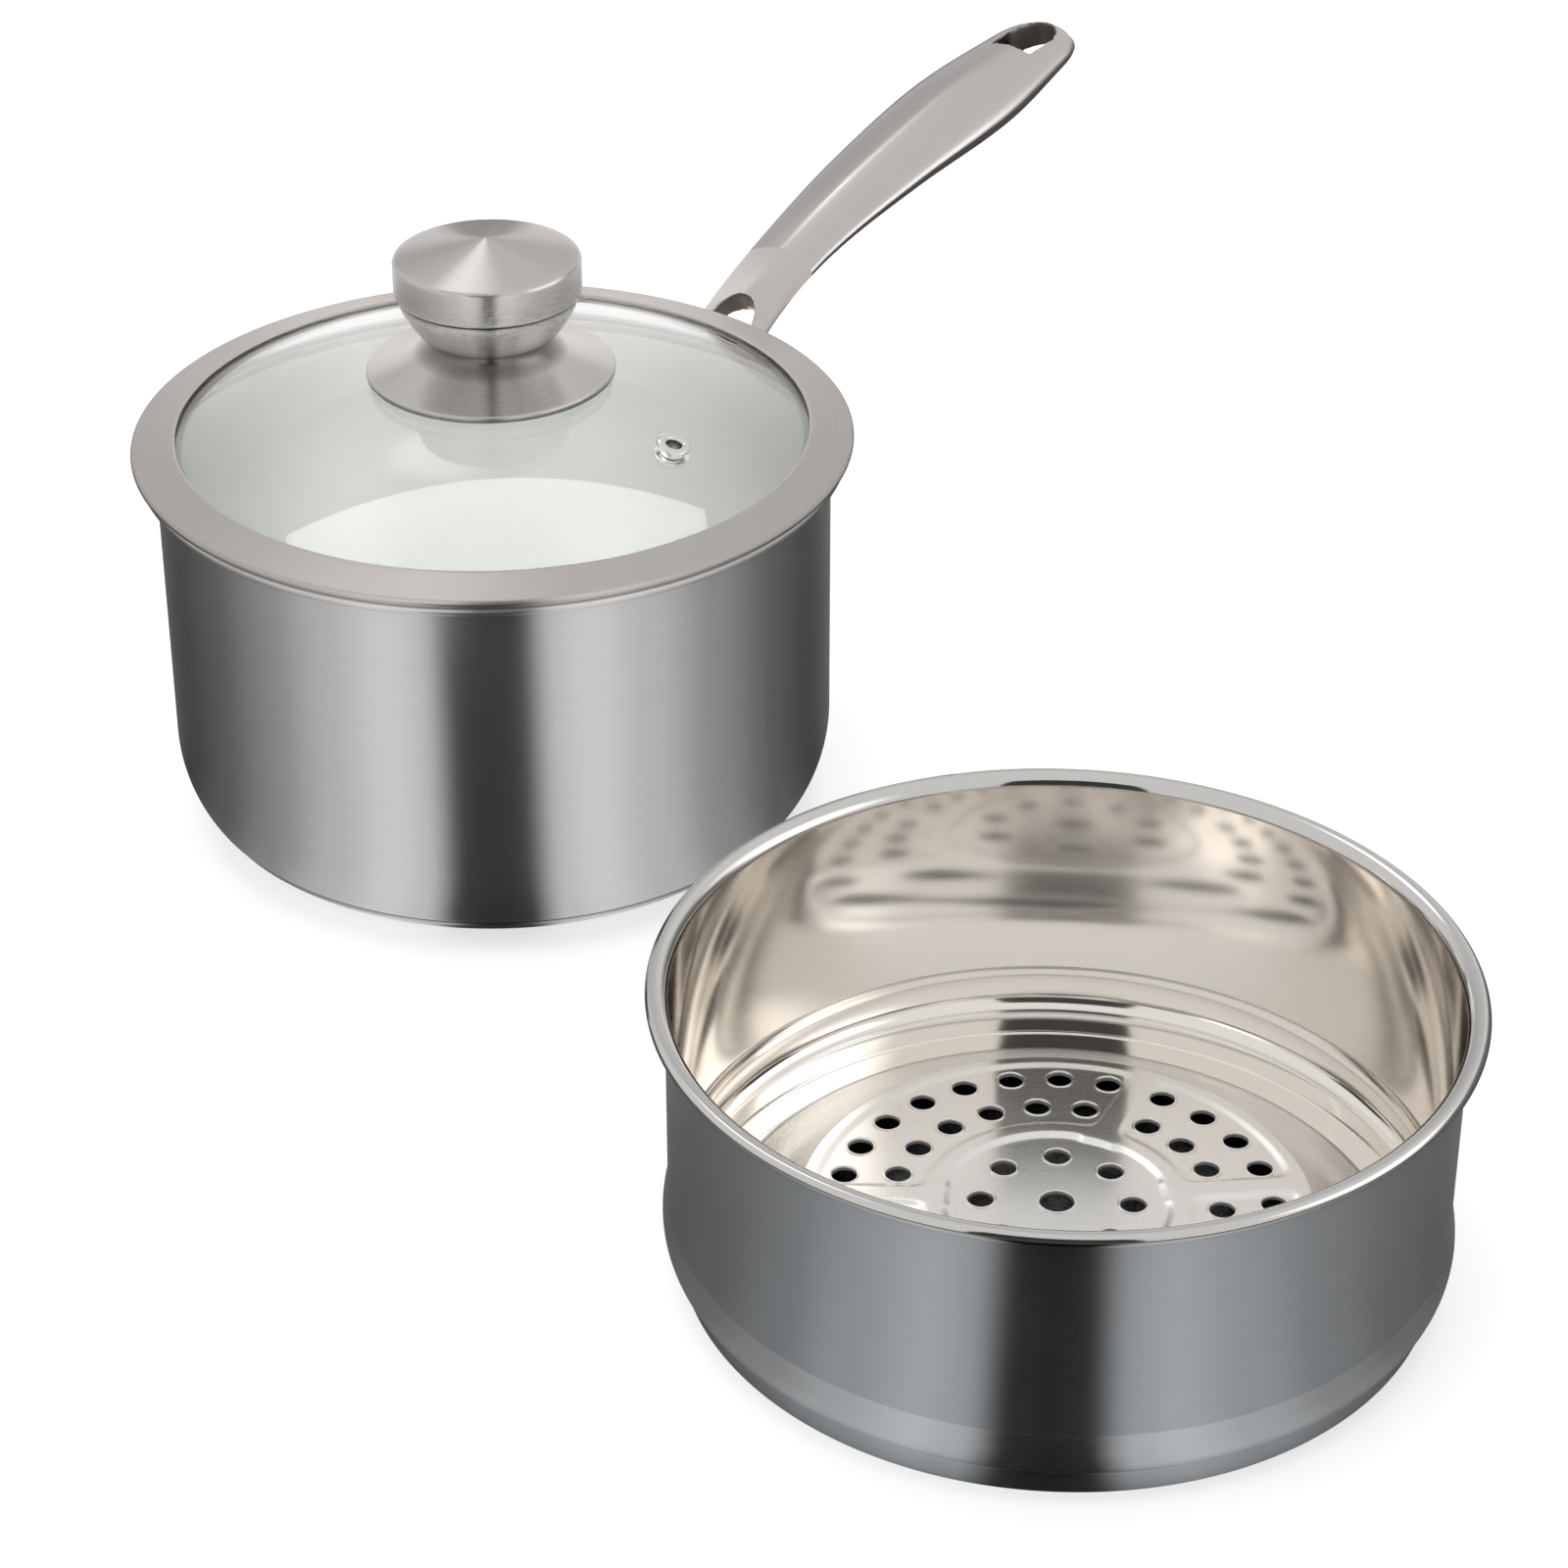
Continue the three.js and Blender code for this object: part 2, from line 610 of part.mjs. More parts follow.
function vent() {
  const group = ventGroup();
  const top = SEAT_GAP;
  const edge = top + VENT_FLANGE_HEIGHT / 2;
  const flangeTop = top + VENT_FLANGE_HEIGHT;
  const washerTop = -GLASS_THICKNESS - domeSag(ventFlangeRadius, GLASS_DOME_RADIUS) - SEAT_GAP;
  const washerBottom = washerTop - VENT_WASHER_THICKNESS;
  const closedTop = washerBottom - SEAT_GAP / 2;
  const closedBottom = closedTop - VENT_FLANGE_HEIGHT;
  const closedRadius = ventTubeRadius + VENT_CLOSED_WIDTH;
  const eyelet = [
    [VENT_BORE_RADIUS, closedBottom],
    [closedRadius, closedBottom],
    [closedRadius, closedTop],
    [ventTubeRadius, closedTop],
    [ventTubeRadius, top],
    [ventFlangeRadius, top],
    [ventFlangeRadius, edge],
    [ventFlangeRadius - VENT_FLANGE_HEIGHT, flangeTop],
    [ventTubeRadius, flangeTop],
    [VENT_BORE_RADIUS, edge],
  ];
  const washerRing = [
    [ventBore, washerBottom],
    [ventFlangeRadius, washerBottom],
    [ventFlangeRadius, washerTop],
    [ventBore, washerTop],
  ];
  group.add(piece("vent_eyelet", lathe(eyelet, TINY_SEGMENTS), metal(POLISHED, 0.2)));
  group.add(piece("vent_washer", lathe(washerRing, TINY_SEGMENTS), metal(POLISHED, 0.3)));
  return group;
}

function knobBase() {
  const half = KNOB_SHEET / 2;
  const edgeTop = knobBaseBottom + KNOB_BASE_EDGE;
  const webBottom = knobSeat - 2 * KNOB_SHEET;
  const recessInner = gasketOuter - GASKET_WIDTH - KNOB_SHEET;
  const flare = new THREE.QuadraticBezierCurve(
    new THREE.Vector2(KNOB_BASE_RADIUS - half, edgeTop),
    new THREE.Vector2(KNOB_NECK_RADIUS, THREE.MathUtils.lerp(edgeTop, knobSeat, KNOB_FLARE_SHARE)),
    new THREE.Vector2(KNOB_NECK_RADIUS, knobSeat),
  );
  const outer = flare.getPoints(ARC_STEPS).map((p) => [p.x, p.y]);
  const hollow = outer
    .map(([x, z]) => [x - KNOB_SHEET, z - KNOB_SHEET])
    .filter(([x, z]) => x < recessInner && z < webBottom)
    .reverse();
  const profile = [
    [gasketOuter, knobBaseBottom],
    [KNOB_BASE_RADIUS, knobBaseBottom + half],
    [KNOB_BASE_RADIUS, edgeTop - half],
    ...outer,
    [screwBore, knobSeat],
    [screwBore, webBottom],
    [KNOB_NECK_RADIUS - KNOB_SHEET, webBottom],
    ...hollow,
    [recessInner, gasketTop],
    [gasketOuter, gasketTop],
  ];
  return lathe(profile, SMALL_SEGMENTS);
}

function upperGasket() {
  const outer = gasketOuter - SEAT_GAP;
  const inner = outer - GASKET_WIDTH;
  const profile = [
    [inner, domeTop(inner) + GASKET_DOME_GAP],
    [outer, domeTop(outer) + GASKET_DOME_GAP],
    [outer, gasketTop],
    [inner, gasketTop],
  ];
  return lathe(profile, SMALL_SEGMENTS);
}

function knobCup() {
  const collarTop = knobSeam + KNOB_COLLAR_HEIGHT;
  const bowl = new THREE.QuadraticBezierCurve(
    new THREE.Vector2(KNOB_CUP_FOOT_RADIUS, knobSeat),
    new THREE.Vector2(KNOB_CUP_RADIUS, THREE.MathUtils.lerp(knobSeat, knobSeam, KNOB_BOWL_SHARE)),
    new THREE.Vector2(KNOB_CUP_RADIUS, knobSeam),
  );
  const outer = bowl.getPoints(ARC_STEPS).map((p) => [p.x, p.y]);
  const inside = outer
    .filter(([, z]) => z > insertBottom && z < knobSeam)
    .map(([x, z]) => [x - KNOB_CUP_WALL, z])
    .reverse();
  const profile = [
    [screwBore, knobSeat],
    ...outer,
    [collarRadius, knobSeam],
    [collarRadius, collarTop],
    [collarRadius - KNOB_SHEET, collarTop],
    ...inside,
    [KNOB_CUP_FOOT_RADIUS - KNOB_SHEET, insertBottom],
    [screwBore, insertBottom],
  ];
  return lathe(profile, SMALL_SEGMENTS);
}

function knobCap() {
  const skirtInner = collarRadius + SEAT_GAP;
  const apex = knobShoulder + KNOB_CONE_HEIGHT;
  const edgeX = knobCapRadius - KNOB_EDGE_ROUND;
  const edgeZ = knobShoulder - KNOB_EDGE_ROUND;
  const profile = [
    [0, apex - KNOB_SHEET],
    [skirtInner, knobShoulder - KNOB_SHEET],
    [skirtInner, knobSeam],
    [KNOB_CUP_RADIUS, knobSeam],
    [KNOB_CUP_RADIUS + KNOB_CAP_STEP / 2, knobSeam + KNOB_CAP_STEP / 2],
    ...arc(edgeX, edgeZ, KNOB_EDGE_ROUND, KNOB_EDGE_ROUND, 0, KNOB_EDGE_SWEEP),
    [0, apex],
  ];
  return lathe(profile, SMALL_SEGMENTS);
}

function knobInsert() {
  const bore = SCREW_RADIUS + SCREW_CLEARANCE / 2;
  const boreTop = insertBottom + SCREW_REACH;
  const radius = SCREW_RADIUS + INSERT_WALL;
  const profile = [
    [0, boreTop],
    [bore, boreTop],
    [bore, insertBottom],
    [radius, insertBottom],
    [radius, boreTop + INSERT_END],
    [0, boreTop + INSERT_END],
  ];
  return lathe(profile, TINY_SEGMENTS);
}

// A flat ring on the screw, between two heights.
function washer(radius, bottom, top) {
  const profile = [
    [screwBore, bottom],
    [radius, bottom],
    [radius, top],
    [screwBore, top],
  ];
  return lathe(profile, SMALL_SEGMENTS);
}

function knobScrew() {
  const bottom = screwHeadTop - SCREW_HEAD_HEIGHT;
  const tip = insertBottom + SCREW_REACH - SCREW_CLEARANCE;
  const profile = [
    [0, bottom],
    ...arc(0, screwHeadTop, SCREW_HEAD_RADIUS, SCREW_HEAD_HEIGHT, -DOME_SWEEP, 0),
    [SCREW_RADIUS, screwHeadTop],
    [SCREW_RADIUS, tip],
    [0, tip],
  ];
  const slot = new THREE.BoxGeometry(
    SCREW_HEAD_RADIUS * 3,
    SCREW_SLOT_WIDTH,
    SCREW_SLOT_DEPTH * 2,
  );
  slot.translate(0, 0, bottom);
  return geometryOf(cut(solid(lathe(profile, TINY_SEGMENTS)), [slot]));
}

// Height of the perforated plate's top at a radius: a low crown.
function plateTop(radius) {
  const share = radius / plateRadius;
  return PLATE_RISE + STEAMER_SHEET + PLATE_CROWN * (1 - share * share);
}

// The steam holes: one in the middle, a ring round it, and two rows broken into sectors by
// plain spokes. A hole that would leave too thin a bridge to another is left out.
function steamHoles() {
  const holes = [{ x: 0, y: 0, radius: CENTRE_HOLE_RADIUS }];
  const place = (row, degrees) => {
    const angle = THREE.MathUtils.degToRad(degrees);
    const [x, y] = [row * Math.cos(angle), row * Math.sin(angle)];
    const clear = ({ x: otherX, y: otherY, radius }) =>
      Math.hypot(x - otherX, y - otherY) > radius + HOLE_RADIUS + HOLE_BRIDGE;
    if (holes.every(clear)) holes.push({ x, y, radius: HOLE_RADIUS });
  };
  for (let i = 0; i < CENTRE_RING_COUNT; i += 1) {
    place(CENTRE_RING_RADIUS, CENTRE_RING_ANGLE + (FULL_TURN * i) / CENTRE_RING_COUNT);
  }
  const sectors = SECTOR_COUNTS.length;
  const rowCount = SECTOR_COUNTS.reduce((sum, count) => sum + count, 0);
  const outerPitch = (FULL_TURN - SPOKE_GAP * sectors) / (rowCount - sectors);
  let spoke = FIRST_SPOKE_ANGLE;
  SECTOR_COUNTS.forEach((count) => {
    const outerSpan = (count - 1) * outerPitch;
    const innerSpan = outerSpan + SPOKE_GAP - INNER_SPOKE_GAP;
    const innerSteps = Math.round(innerSpan / INNER_PITCH);
    for (let i = 0; i < count; i += 1) {
      place(outerRowRadius, spoke + SPOKE_GAP / 2 + outerPitch * i);
    }
    for (let i = 0; i <= innerSteps; i += 1) {
      place(innerRowRadius, spoke + INNER_SPOKE_GAP / 2 + (innerSpan * i) / innerSteps);
    }
    spoke += outerSpan + SPOKE_GAP;
  });
  return holes;
}

// The seating bead between the skirt and the wall, as a curve of [radius, height] points.
function beadCurve() {
  const sheet = STEAMER_SHEET;
  const bottom = STEAMER_SKIRT_HEIGHT;
  const crest = bottom + STEAMER_BEAD_HEIGHT * STEAMER_BEAD_CREST_SHARE;
  const curve = new THREE.CubicBezierCurve(
    new THREE.Vector2(steamerSkirtRadius - sheet / 2, bottom),
    new THREE.Vector2(steamerBeadRadius + sheet, bottom + sheet),
    new THREE.Vector2(steamerBeadRadius + sheet / 2, crest + 2 * sheet),
    new THREE.Vector2(steamerWallRadius, bottom + STEAMER_BEAD_HEIGHT),
  );
  return curve.getPoints(ARC_STEPS + 1).map((p) => [p.x, p.y]);
}

function steamerBody() {
  const RIM_START = 110;
  const FOOT_END = -20;
  const sheet = STEAMER_SHEET;
  const round = STEAMER_FOOT_ROUND;
  const innerRound = round - sheet;
  const roll = STEAMER_RIM_ROLL;
  const rimCentre = steamerRimRadius - roll;
  const rimMiddle = STEAMER_HEIGHT - roll;
  const flareWidth = rimCentre - steamerWallRadius + sheet;
  const flareBottom = STEAMER_HEIGHT - STEAMER_FLARE_DROP;
  const beadOut = beadCurve();
  const beadIn = beadOut.map(([x, z]) => [x - sheet, z + sheet / 3]).reverse();
  const plateRadii = Array.from(
    { length: PLATE_RINGS },
    (_, i) => plateRadius * (1 - i / PLATE_RINGS),
  );
  const plateOver = plateRadii.map((r) => [r, plateTop(r)]);
  const plateUnder = plateOver.map(([r, z]) => [r, z - sheet]).reverse();
  const profile = [
    [0, plateTop(0) - sheet],
    ...plateUnder,
    [footInner, 0],
    [footOuter, 0],
    ...arc(footOuter, round, round, round, -DOME_SWEEP, 0, SHORT_ARC_STEPS),
    [steamerSkirtRadius, STEAMER_SKIRT_HEIGHT - sheet],
    ...beadOut,
    [steamerWallRadius, rimMiddle - roll - sheet],
    [rimCentre - roll / 2, rimMiddle - roll],
    ...arc(rimCentre, rimMiddle, roll, roll, -90, 90),
    ...arc(rimCentre, flareBottom, flareWidth, STEAMER_FLARE_DROP, RIM_START, 180, SHORT_ARC_STEPS),
    ...beadIn,
    [steamerSkirtRadius - sheet, round],
    ...arc(footOuter, round, innerRound, innerRound, FOOT_END, -90, SHORT_ARC_STEPS),
    [footInner + sheet / 2, sheet],
    ...plateOver,
    [0, plateTop(0)],
  ];
  const drills = steamHoles().map(({ x, y, radius }) =>
    bar(radius, STEAMER_HEIGHT, HOLE_SEGMENTS).translate(x, y, 0),
  );
  return geometryOf(cut(solid(lathe(profile, WIDE_SEGMENTS)), drills));
}

function pan() {
  const group = new THREE.Group();
  group.add(piece("pan_shell", panShell(), metal(BRUSHED, 0.3)));
  group.add(piece("base_core", baseCore(), metal(ALUMINIUM, 0.5)));
  group.add(piece("base_cap", baseCap(), metal(BRUSHED, 0.3)));
  group.add(piece("handle", handle(), metal(BRUSHED, 0.35)));
  return group;
}

function lid() {
  const group = new THREE.Group();
  const glass = new THREE.MeshStandardMaterial({
    color: GLASS,
    roughness: 0.05,
    metalness: 0,
    transparent: true,
    opacity: 0.35,
  });
  const lowerGasket = washer(LOWER_GASKET_RADIUS, screwWasherTop, lowerGasketTop);
  const screwWasher = washer(SCREW_WASHER_RADIUS, screwHeadTop, screwWasherTop);
  group.add(piece("lid_ring", lidRing(), metal(BRUSHED, 0.35)));
  group.add(piece("lid_glass", lidGlass(), glass));
  group.add(vent());
  group.add(piece("knob_base", knobBase(), metal(BRUSHED, 0.3)));
  group.add(piece("knob_cup", knobCup(), metal(BRUSHED, 0.3)));
  group.add(piece("knob_cap", knobCap(), metal(BRUSHED, 0.3)));
  group.add(piece("knob_insert", knobInsert(), metal(ALUMINIUM, 0.5)));
  group.add(piece("upper_gasket", upperGasket(), rubber()));
  group.add(piece("lower_gasket", lowerGasket, rubber()));
  group.add(piece("screw_washer", screwWasher, metal(POLISHED, 0.3)));
  group.add(piece("knob_screw", knobScrew(), metal(POLISHED, 0.3)));
  return group;
}

function steamer() {
  const group = new THREE.Group();
  const angle = THREE.MathUtils.degToRad(STEAMER_STAND_ANGLE);
  group.position.set(steamerDistance * Math.cos(angle), steamerDistance * Math.sin(angle), 0);
  group.add(piece("steamer_body", steamerBody(), metal(POLISHED, 0.2)));
  return group;
}

const set = new THREE.Group();
set.add(pan(), lid(), steamer());

export default set;
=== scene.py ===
import logging
import math
from collections.abc import Callable
from dataclasses import dataclass
from enum import Enum, IntEnum
from functools import cache

import bpy
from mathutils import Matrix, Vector
from mathutils.bvhtree import BVHTree


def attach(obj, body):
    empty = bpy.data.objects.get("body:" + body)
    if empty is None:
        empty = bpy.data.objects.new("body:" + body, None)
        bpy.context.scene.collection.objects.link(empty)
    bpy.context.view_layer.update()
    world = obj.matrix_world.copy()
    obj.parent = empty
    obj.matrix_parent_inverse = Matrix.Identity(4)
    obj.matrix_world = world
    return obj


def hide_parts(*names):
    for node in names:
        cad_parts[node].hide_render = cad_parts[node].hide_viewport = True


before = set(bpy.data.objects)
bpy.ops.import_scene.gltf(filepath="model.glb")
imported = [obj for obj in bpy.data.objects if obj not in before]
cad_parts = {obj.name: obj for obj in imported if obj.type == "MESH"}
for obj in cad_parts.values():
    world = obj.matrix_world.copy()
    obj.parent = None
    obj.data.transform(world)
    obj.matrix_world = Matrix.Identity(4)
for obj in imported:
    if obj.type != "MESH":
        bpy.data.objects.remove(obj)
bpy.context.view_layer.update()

# Looks of a milk pan with a glass lid and a steamer insert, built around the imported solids.
# Sizes are in millimetres, and MM turns them into the scene's metres.
LOG = logging.getLogger("milk_pan")
MM = 0.001
SEED_SIZE = 0.001
WELD_DISTANCE = 2e-6
SMOOTH_ANGLE = math.radians(32)
CORNER_SHARE = 0.45
WIDE_STEPS = 240
KNOB_STEPS = 144
SMALL_STEPS = 64
HOLE_STEPS = 40
STUDIO_STEPS = 96
OCCLUSION_SAMPLES = 8
AXIS_GUARD = 1e-9
MARK_RANGE = (-0.6, 1.6)
MIX_INPUTS = (6, 7)
MIX_RESULT = 2

Point = tuple[float, float]
Place = tuple[float, float, float]
Profile = list[Point]
Colour = tuple[float, float, float]
Piece = bpy.types.Object
Material = bpy.types.Material
Socket = bpy.types.NodeSocket

WHITE: Colour = (1.0, 1.0, 1.0)
PAN_CENTRE: Point = (0.0, 0.0)
STEAMER_CENTRE: Point = (-82.86, -243.38)


class Body(Enum):
    """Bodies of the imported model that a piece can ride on."""

    PAN = "pan"
    LID = "lid"
    STEAMER = "steamer"


class Slot(Enum):
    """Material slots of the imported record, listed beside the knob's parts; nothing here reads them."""

    BRUSHED = "brushed_steel"
    SATIN = "satin_steel"
    POLISHED = "polished_steel"
    GLASS = "clear_glass"
    SILICONE = "silicone"


class Cut(Enum):
    """Ways to combine a piece with a cutter."""

    TAKE_AWAY = "DIFFERENCE"
    ADD = "UNION"
    KEEP_SHARED = "INTERSECT"


class Side(IntEnum):
    """Sides of a piece, in the order of its finishes."""

    OUTSIDE = 0
    INSIDE = 1
    RIM = 2
    PLATE = 3
    BEAD = 4


Chooser = Callable[[Vector, Vector], Side]


def lerp(start: float, end: float, share: float) -> float:
    """Value at a share of the way from start to end."""
    return start + (end - start) * share


def smoothstep(value: float, low: float, high: float) -> float:
    """Soft step from 0 at low to 1 at high."""
    share = min(1.0, max(0.0, (value - low) / (high - low)))
    return share * share * (3 - 2 * share)


def arc(centre: Point, radii: Point, start: float, end: float, steps: int = 10) -> Profile:
    """Points of an elliptical arc.

    Args:
        centre: Middle of the ellipse, as radius and height.
        radii: Half sizes of the ellipse along the radius and the height.
        start: First angle in degrees.
        end: Last angle in degrees.
        steps: Number of steps between the two.

    Returns:
        The points from start to end.
    """
    angles = [math.radians(lerp(start, end, i / steps)) for i in range(steps + 1)]
    return [
        (centre[0] + radii[0] * math.cos(angle), centre[1] + radii[1] * math.sin(angle))
        for angle in angles
    ]


def bezier(controls: list[Point], steps: int = 16) -> Profile:
    """Points of a Bezier curve through its control points, by repeated halving of shares.

    Args:
        controls: Three or four control points.
        steps: Number of steps along the curve.

    Returns:
        The points from the first control to the last.
    """
    points = []
    for i in range(steps + 1):
        level = list(controls)
        while len(level) > 1:
            level = [
                (lerp(a[0], b[0], i / steps), lerp(a[1], b[1], i / steps))
                for a, b in zip(level, level[1:])
            ]
        points.append(level[0])
    return points


def softened(profile: Profile, radius: float, turn: float = 20.0, steps: int = 3) -> Profile:
    """Rounds the corners of a profile.

    Args:
        profile: Points of the profile, with its first and last kept as they are.
        radius: How far from a corner its rounding starts.
        turn: Least turn in degrees that counts as a corner.
        steps: Number of steps over one corner.

    Returns:
        The profile with its corners rounded.
    """
    soft = [profile[0]]
    for before, corner, after in zip(profile, profile[1:], profile[2:]):
        middle = Vector(corner)
        back = Vector(before) - middle
        ahead = Vector(after) - middle
        if 180 - math.degrees(back.angle(ahead)) < turn:
            soft.append(corner)
            continue
        reach = min(radius, back.length * CORNER_SHARE, ahead.length * CORNER_SHARE)
        start = middle + back.normalized() * reach
        end = middle + ahead.normalized() * reach
        soft += bezier([tuple(start), corner, tuple(end)], steps)
    return [*soft, profile[-1]]


def either_side(middle: float, reach: float) -> Point:
    """Values below and above a middle one by a reach."""
    return middle - reach, middle + reach


def band(inner: float, outer: float, low: float, high: float) -> Profile:
    """Corners of an upright rectangle between two radii and two heights."""
    return [(inner, low), (outer, low), (outer, high), (inner, high)]


def deselect_all() -> None:
    """Leaves nothing selected, so that an operator acts on the next piece alone."""
    if bpy.context.mode != "OBJECT":
        bpy.ops.object.mode_set(mode="OBJECT")
    bpy.ops.object.select_all(action="DESELECT")


def take(piece: Piece) -> None:
    """Makes one piece the selected and active one."""
    deselect_all()
    piece.select_set(True)
    bpy.context.view_layer.objects.active = piece


def chain(name: str, points: list[Vector]) -> Piece:
    """Draws a line of joined points and leaves it in edit mode, all selected.

    Args:
        name: Name of the new piece.
        points: Places of the points in metres.

    Returns:
        The new piece.
    """
    deselect_all()
    bpy.ops.mesh.primitive_plane_add(size=SEED_SIZE)
    piece = bpy.context.object
    piece.name = name
    piece.data.name = name
    bpy.ops.object.mode_set(mode="EDIT")
    bpy.ops.mesh.merge(type="CENTER")
    bpy.ops.transform.translate(value=points[0])
    for here, there in zip(points, points[1:]):
        bpy.ops.mesh.extrude_vertices_move(TRANSFORM_OT_translate={"value": there - here})
    bpy.ops.mesh.select_all(action="SELECT")
    return piece


def close_mesh(inside: bool = False) -> None:
    """Merges the doubles of the mesh in edit mode, turns its faces one way and leaves the mode."""
    bpy.ops.mesh.select_all(action="SELECT")
    bpy.ops.mesh.remove_doubles(threshold=WELD_DISTANCE)
    bpy.ops.mesh.normals_make_consistent(inside=inside)
    bpy.ops.object.mode_set(mode="OBJECT")


def smooth(piece: Piece, angle: float = SMOOTH_ANGLE) -> None:
    """Shades a piece smooth, but for edges sharper than an angle."""
    take(piece)
    bpy.ops.object.shade_smooth_by_angle(angle=angle)


def spun(name: str, line: Profile, steps: int, centre: Point, inside: bool = False) -> Piece:
    """Spins a line about a vertical axis.

    Args:
        name: Name of the new piece.
        line: Points as radius and height.
        steps: Number of steps round the axis.
        centre: Place of the axis.
        inside: Whether its faces look inwards.

    Returns:
        The spun piece.
    """
    x, y = centre
    piece = chain(name, [Vector((x + radius, y, height)) * MM for radius, height in line])
    bpy.ops.mesh.spin(steps=steps, angle=math.tau, center=(x * MM, y * MM, 0), axis=(0, 0, 1))
    close_mesh(inside)
    return piece


def turned(name: str, profile: Profile, steps: int = WIDE_STEPS, centre: Point = PAN_CENTRE) -> Piece:
    """Turns a solid from its profile.

    Args:
        name: Name of the new piece.
        profile: Points as radius and height. It starts and ends on the axis, or is closed here.
        steps: Number of steps round the axis.
        centre: Place of the axis.

    Returns:
        The turned piece, smooth and with its faces outwards.
    """
    closed = profile if profile[0][0] == 0 else [*profile, profile[0]]
    piece = spun(name, closed, steps, centre)
    smooth(piece)
    return piece


def prism(name: str, outline: list[Vector], push: Vector) -> Piece:
    """Extrudes a flat outline into a closed block.

    Args:
        name: Name of the new piece.
        outline: Corners of the outline in order, in metres.
        push: How far and which way it is extruded, in metres.

    Returns:
        The block.
    """
    piece = chain(name, outline)
    bpy.ops.mesh.edge_face_add()
    bpy.ops.mesh.extrude_region_move(TRANSFORM_OT_translate={"value": push})
    close_mesh()
    return piece


def settle(piece: Piece, turn: Place, place: Vector) -> None:
    """Turns and moves a piece, and leaves its object at the origin with its place in its mesh.

    Args:
        piece: Piece to move.
        turn: Turns about X, Y and Z in radians.
        place: Where its own origin goes, in metres.
    """
    take(piece)
    piece.rotation_euler = turn
    piece.location = place
    bpy.ops.object.transform_apply(location=True, rotation=True, scale=True)


def modify(piece: Piece, kind: str, **settings: object) -> None:
    """Adds a modifier to a piece and applies it.

    Args:
        piece: Piece to change.
        kind: Type of the modifier.
        **settings: Values of the modifier.
    """
    take(piece)
    bpy.ops.object.modifier_add(type=kind)
    modifier = piece.modifiers[-1]
    for name, value in settings.items():
        setattr(modifier, name, value)
    bpy.ops.object.modifier_apply(modifier=modifier.name)


def combine(piece: Piece, cutter: Piece, way: Cut = Cut.TAKE_AWAY) -> None:
    """Cuts a piece by another, or joins them, and removes the other.

    Args:
        piece: Piece that stays.
        cutter: Piece that is used up.
        way: How the two are combined.
    """
    modify(piece, "BOOLEAN", operation=way.value, object=cutter, solver="MANIFOLD")
    bpy.data.objects.remove(cutter)


def joined(pieces: list[Piece]) -> Piece:
    """Joins pieces into the first of them."""
    take(pieces[0])
    for piece in pieces[1:]:
        piece.select_set(True)
    bpy.ops.object.join()
    return pieces[0]


def copy_of(piece: Piece) -> Piece:
    """Copies a piece with a mesh of its own."""
    twin = piece.copy()
    twin.data = piece.data.copy()
    bpy.context.collection.objects.link(twin)
    return twin


def finish_faces(piece: Piece, materials: list[Material], chooser: Chooser | None = None) -> None:
    """Gives a piece its materials, face by face where it has several.

    Args:
        piece: Piece to dress.
        materials: Its materials.
        chooser: Picks the side that a face is on from its middle and normal, in metres.
    """
    piece.data.materials.clear()
    for material in materials:
        piece.data.materials.append(material)
    if chooser:
        for face in piece.data.polygons:
            face.material_index = int(chooser(face.center, face.normal))


def place_piece(piece: Piece, body: Body, node: str) -> None:
    """Puts a finished piece on its body, in place of the solid that it stands for.

    Args:
        piece: Finished piece.
        body: Body that it rides on.
        node: Solid that it replaces.
    """
    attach(piece, body.value)
    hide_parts(node)
    LOG.info("piece %s: %d faces on body %s", piece.name, len(piece.data.polygons), body.value)


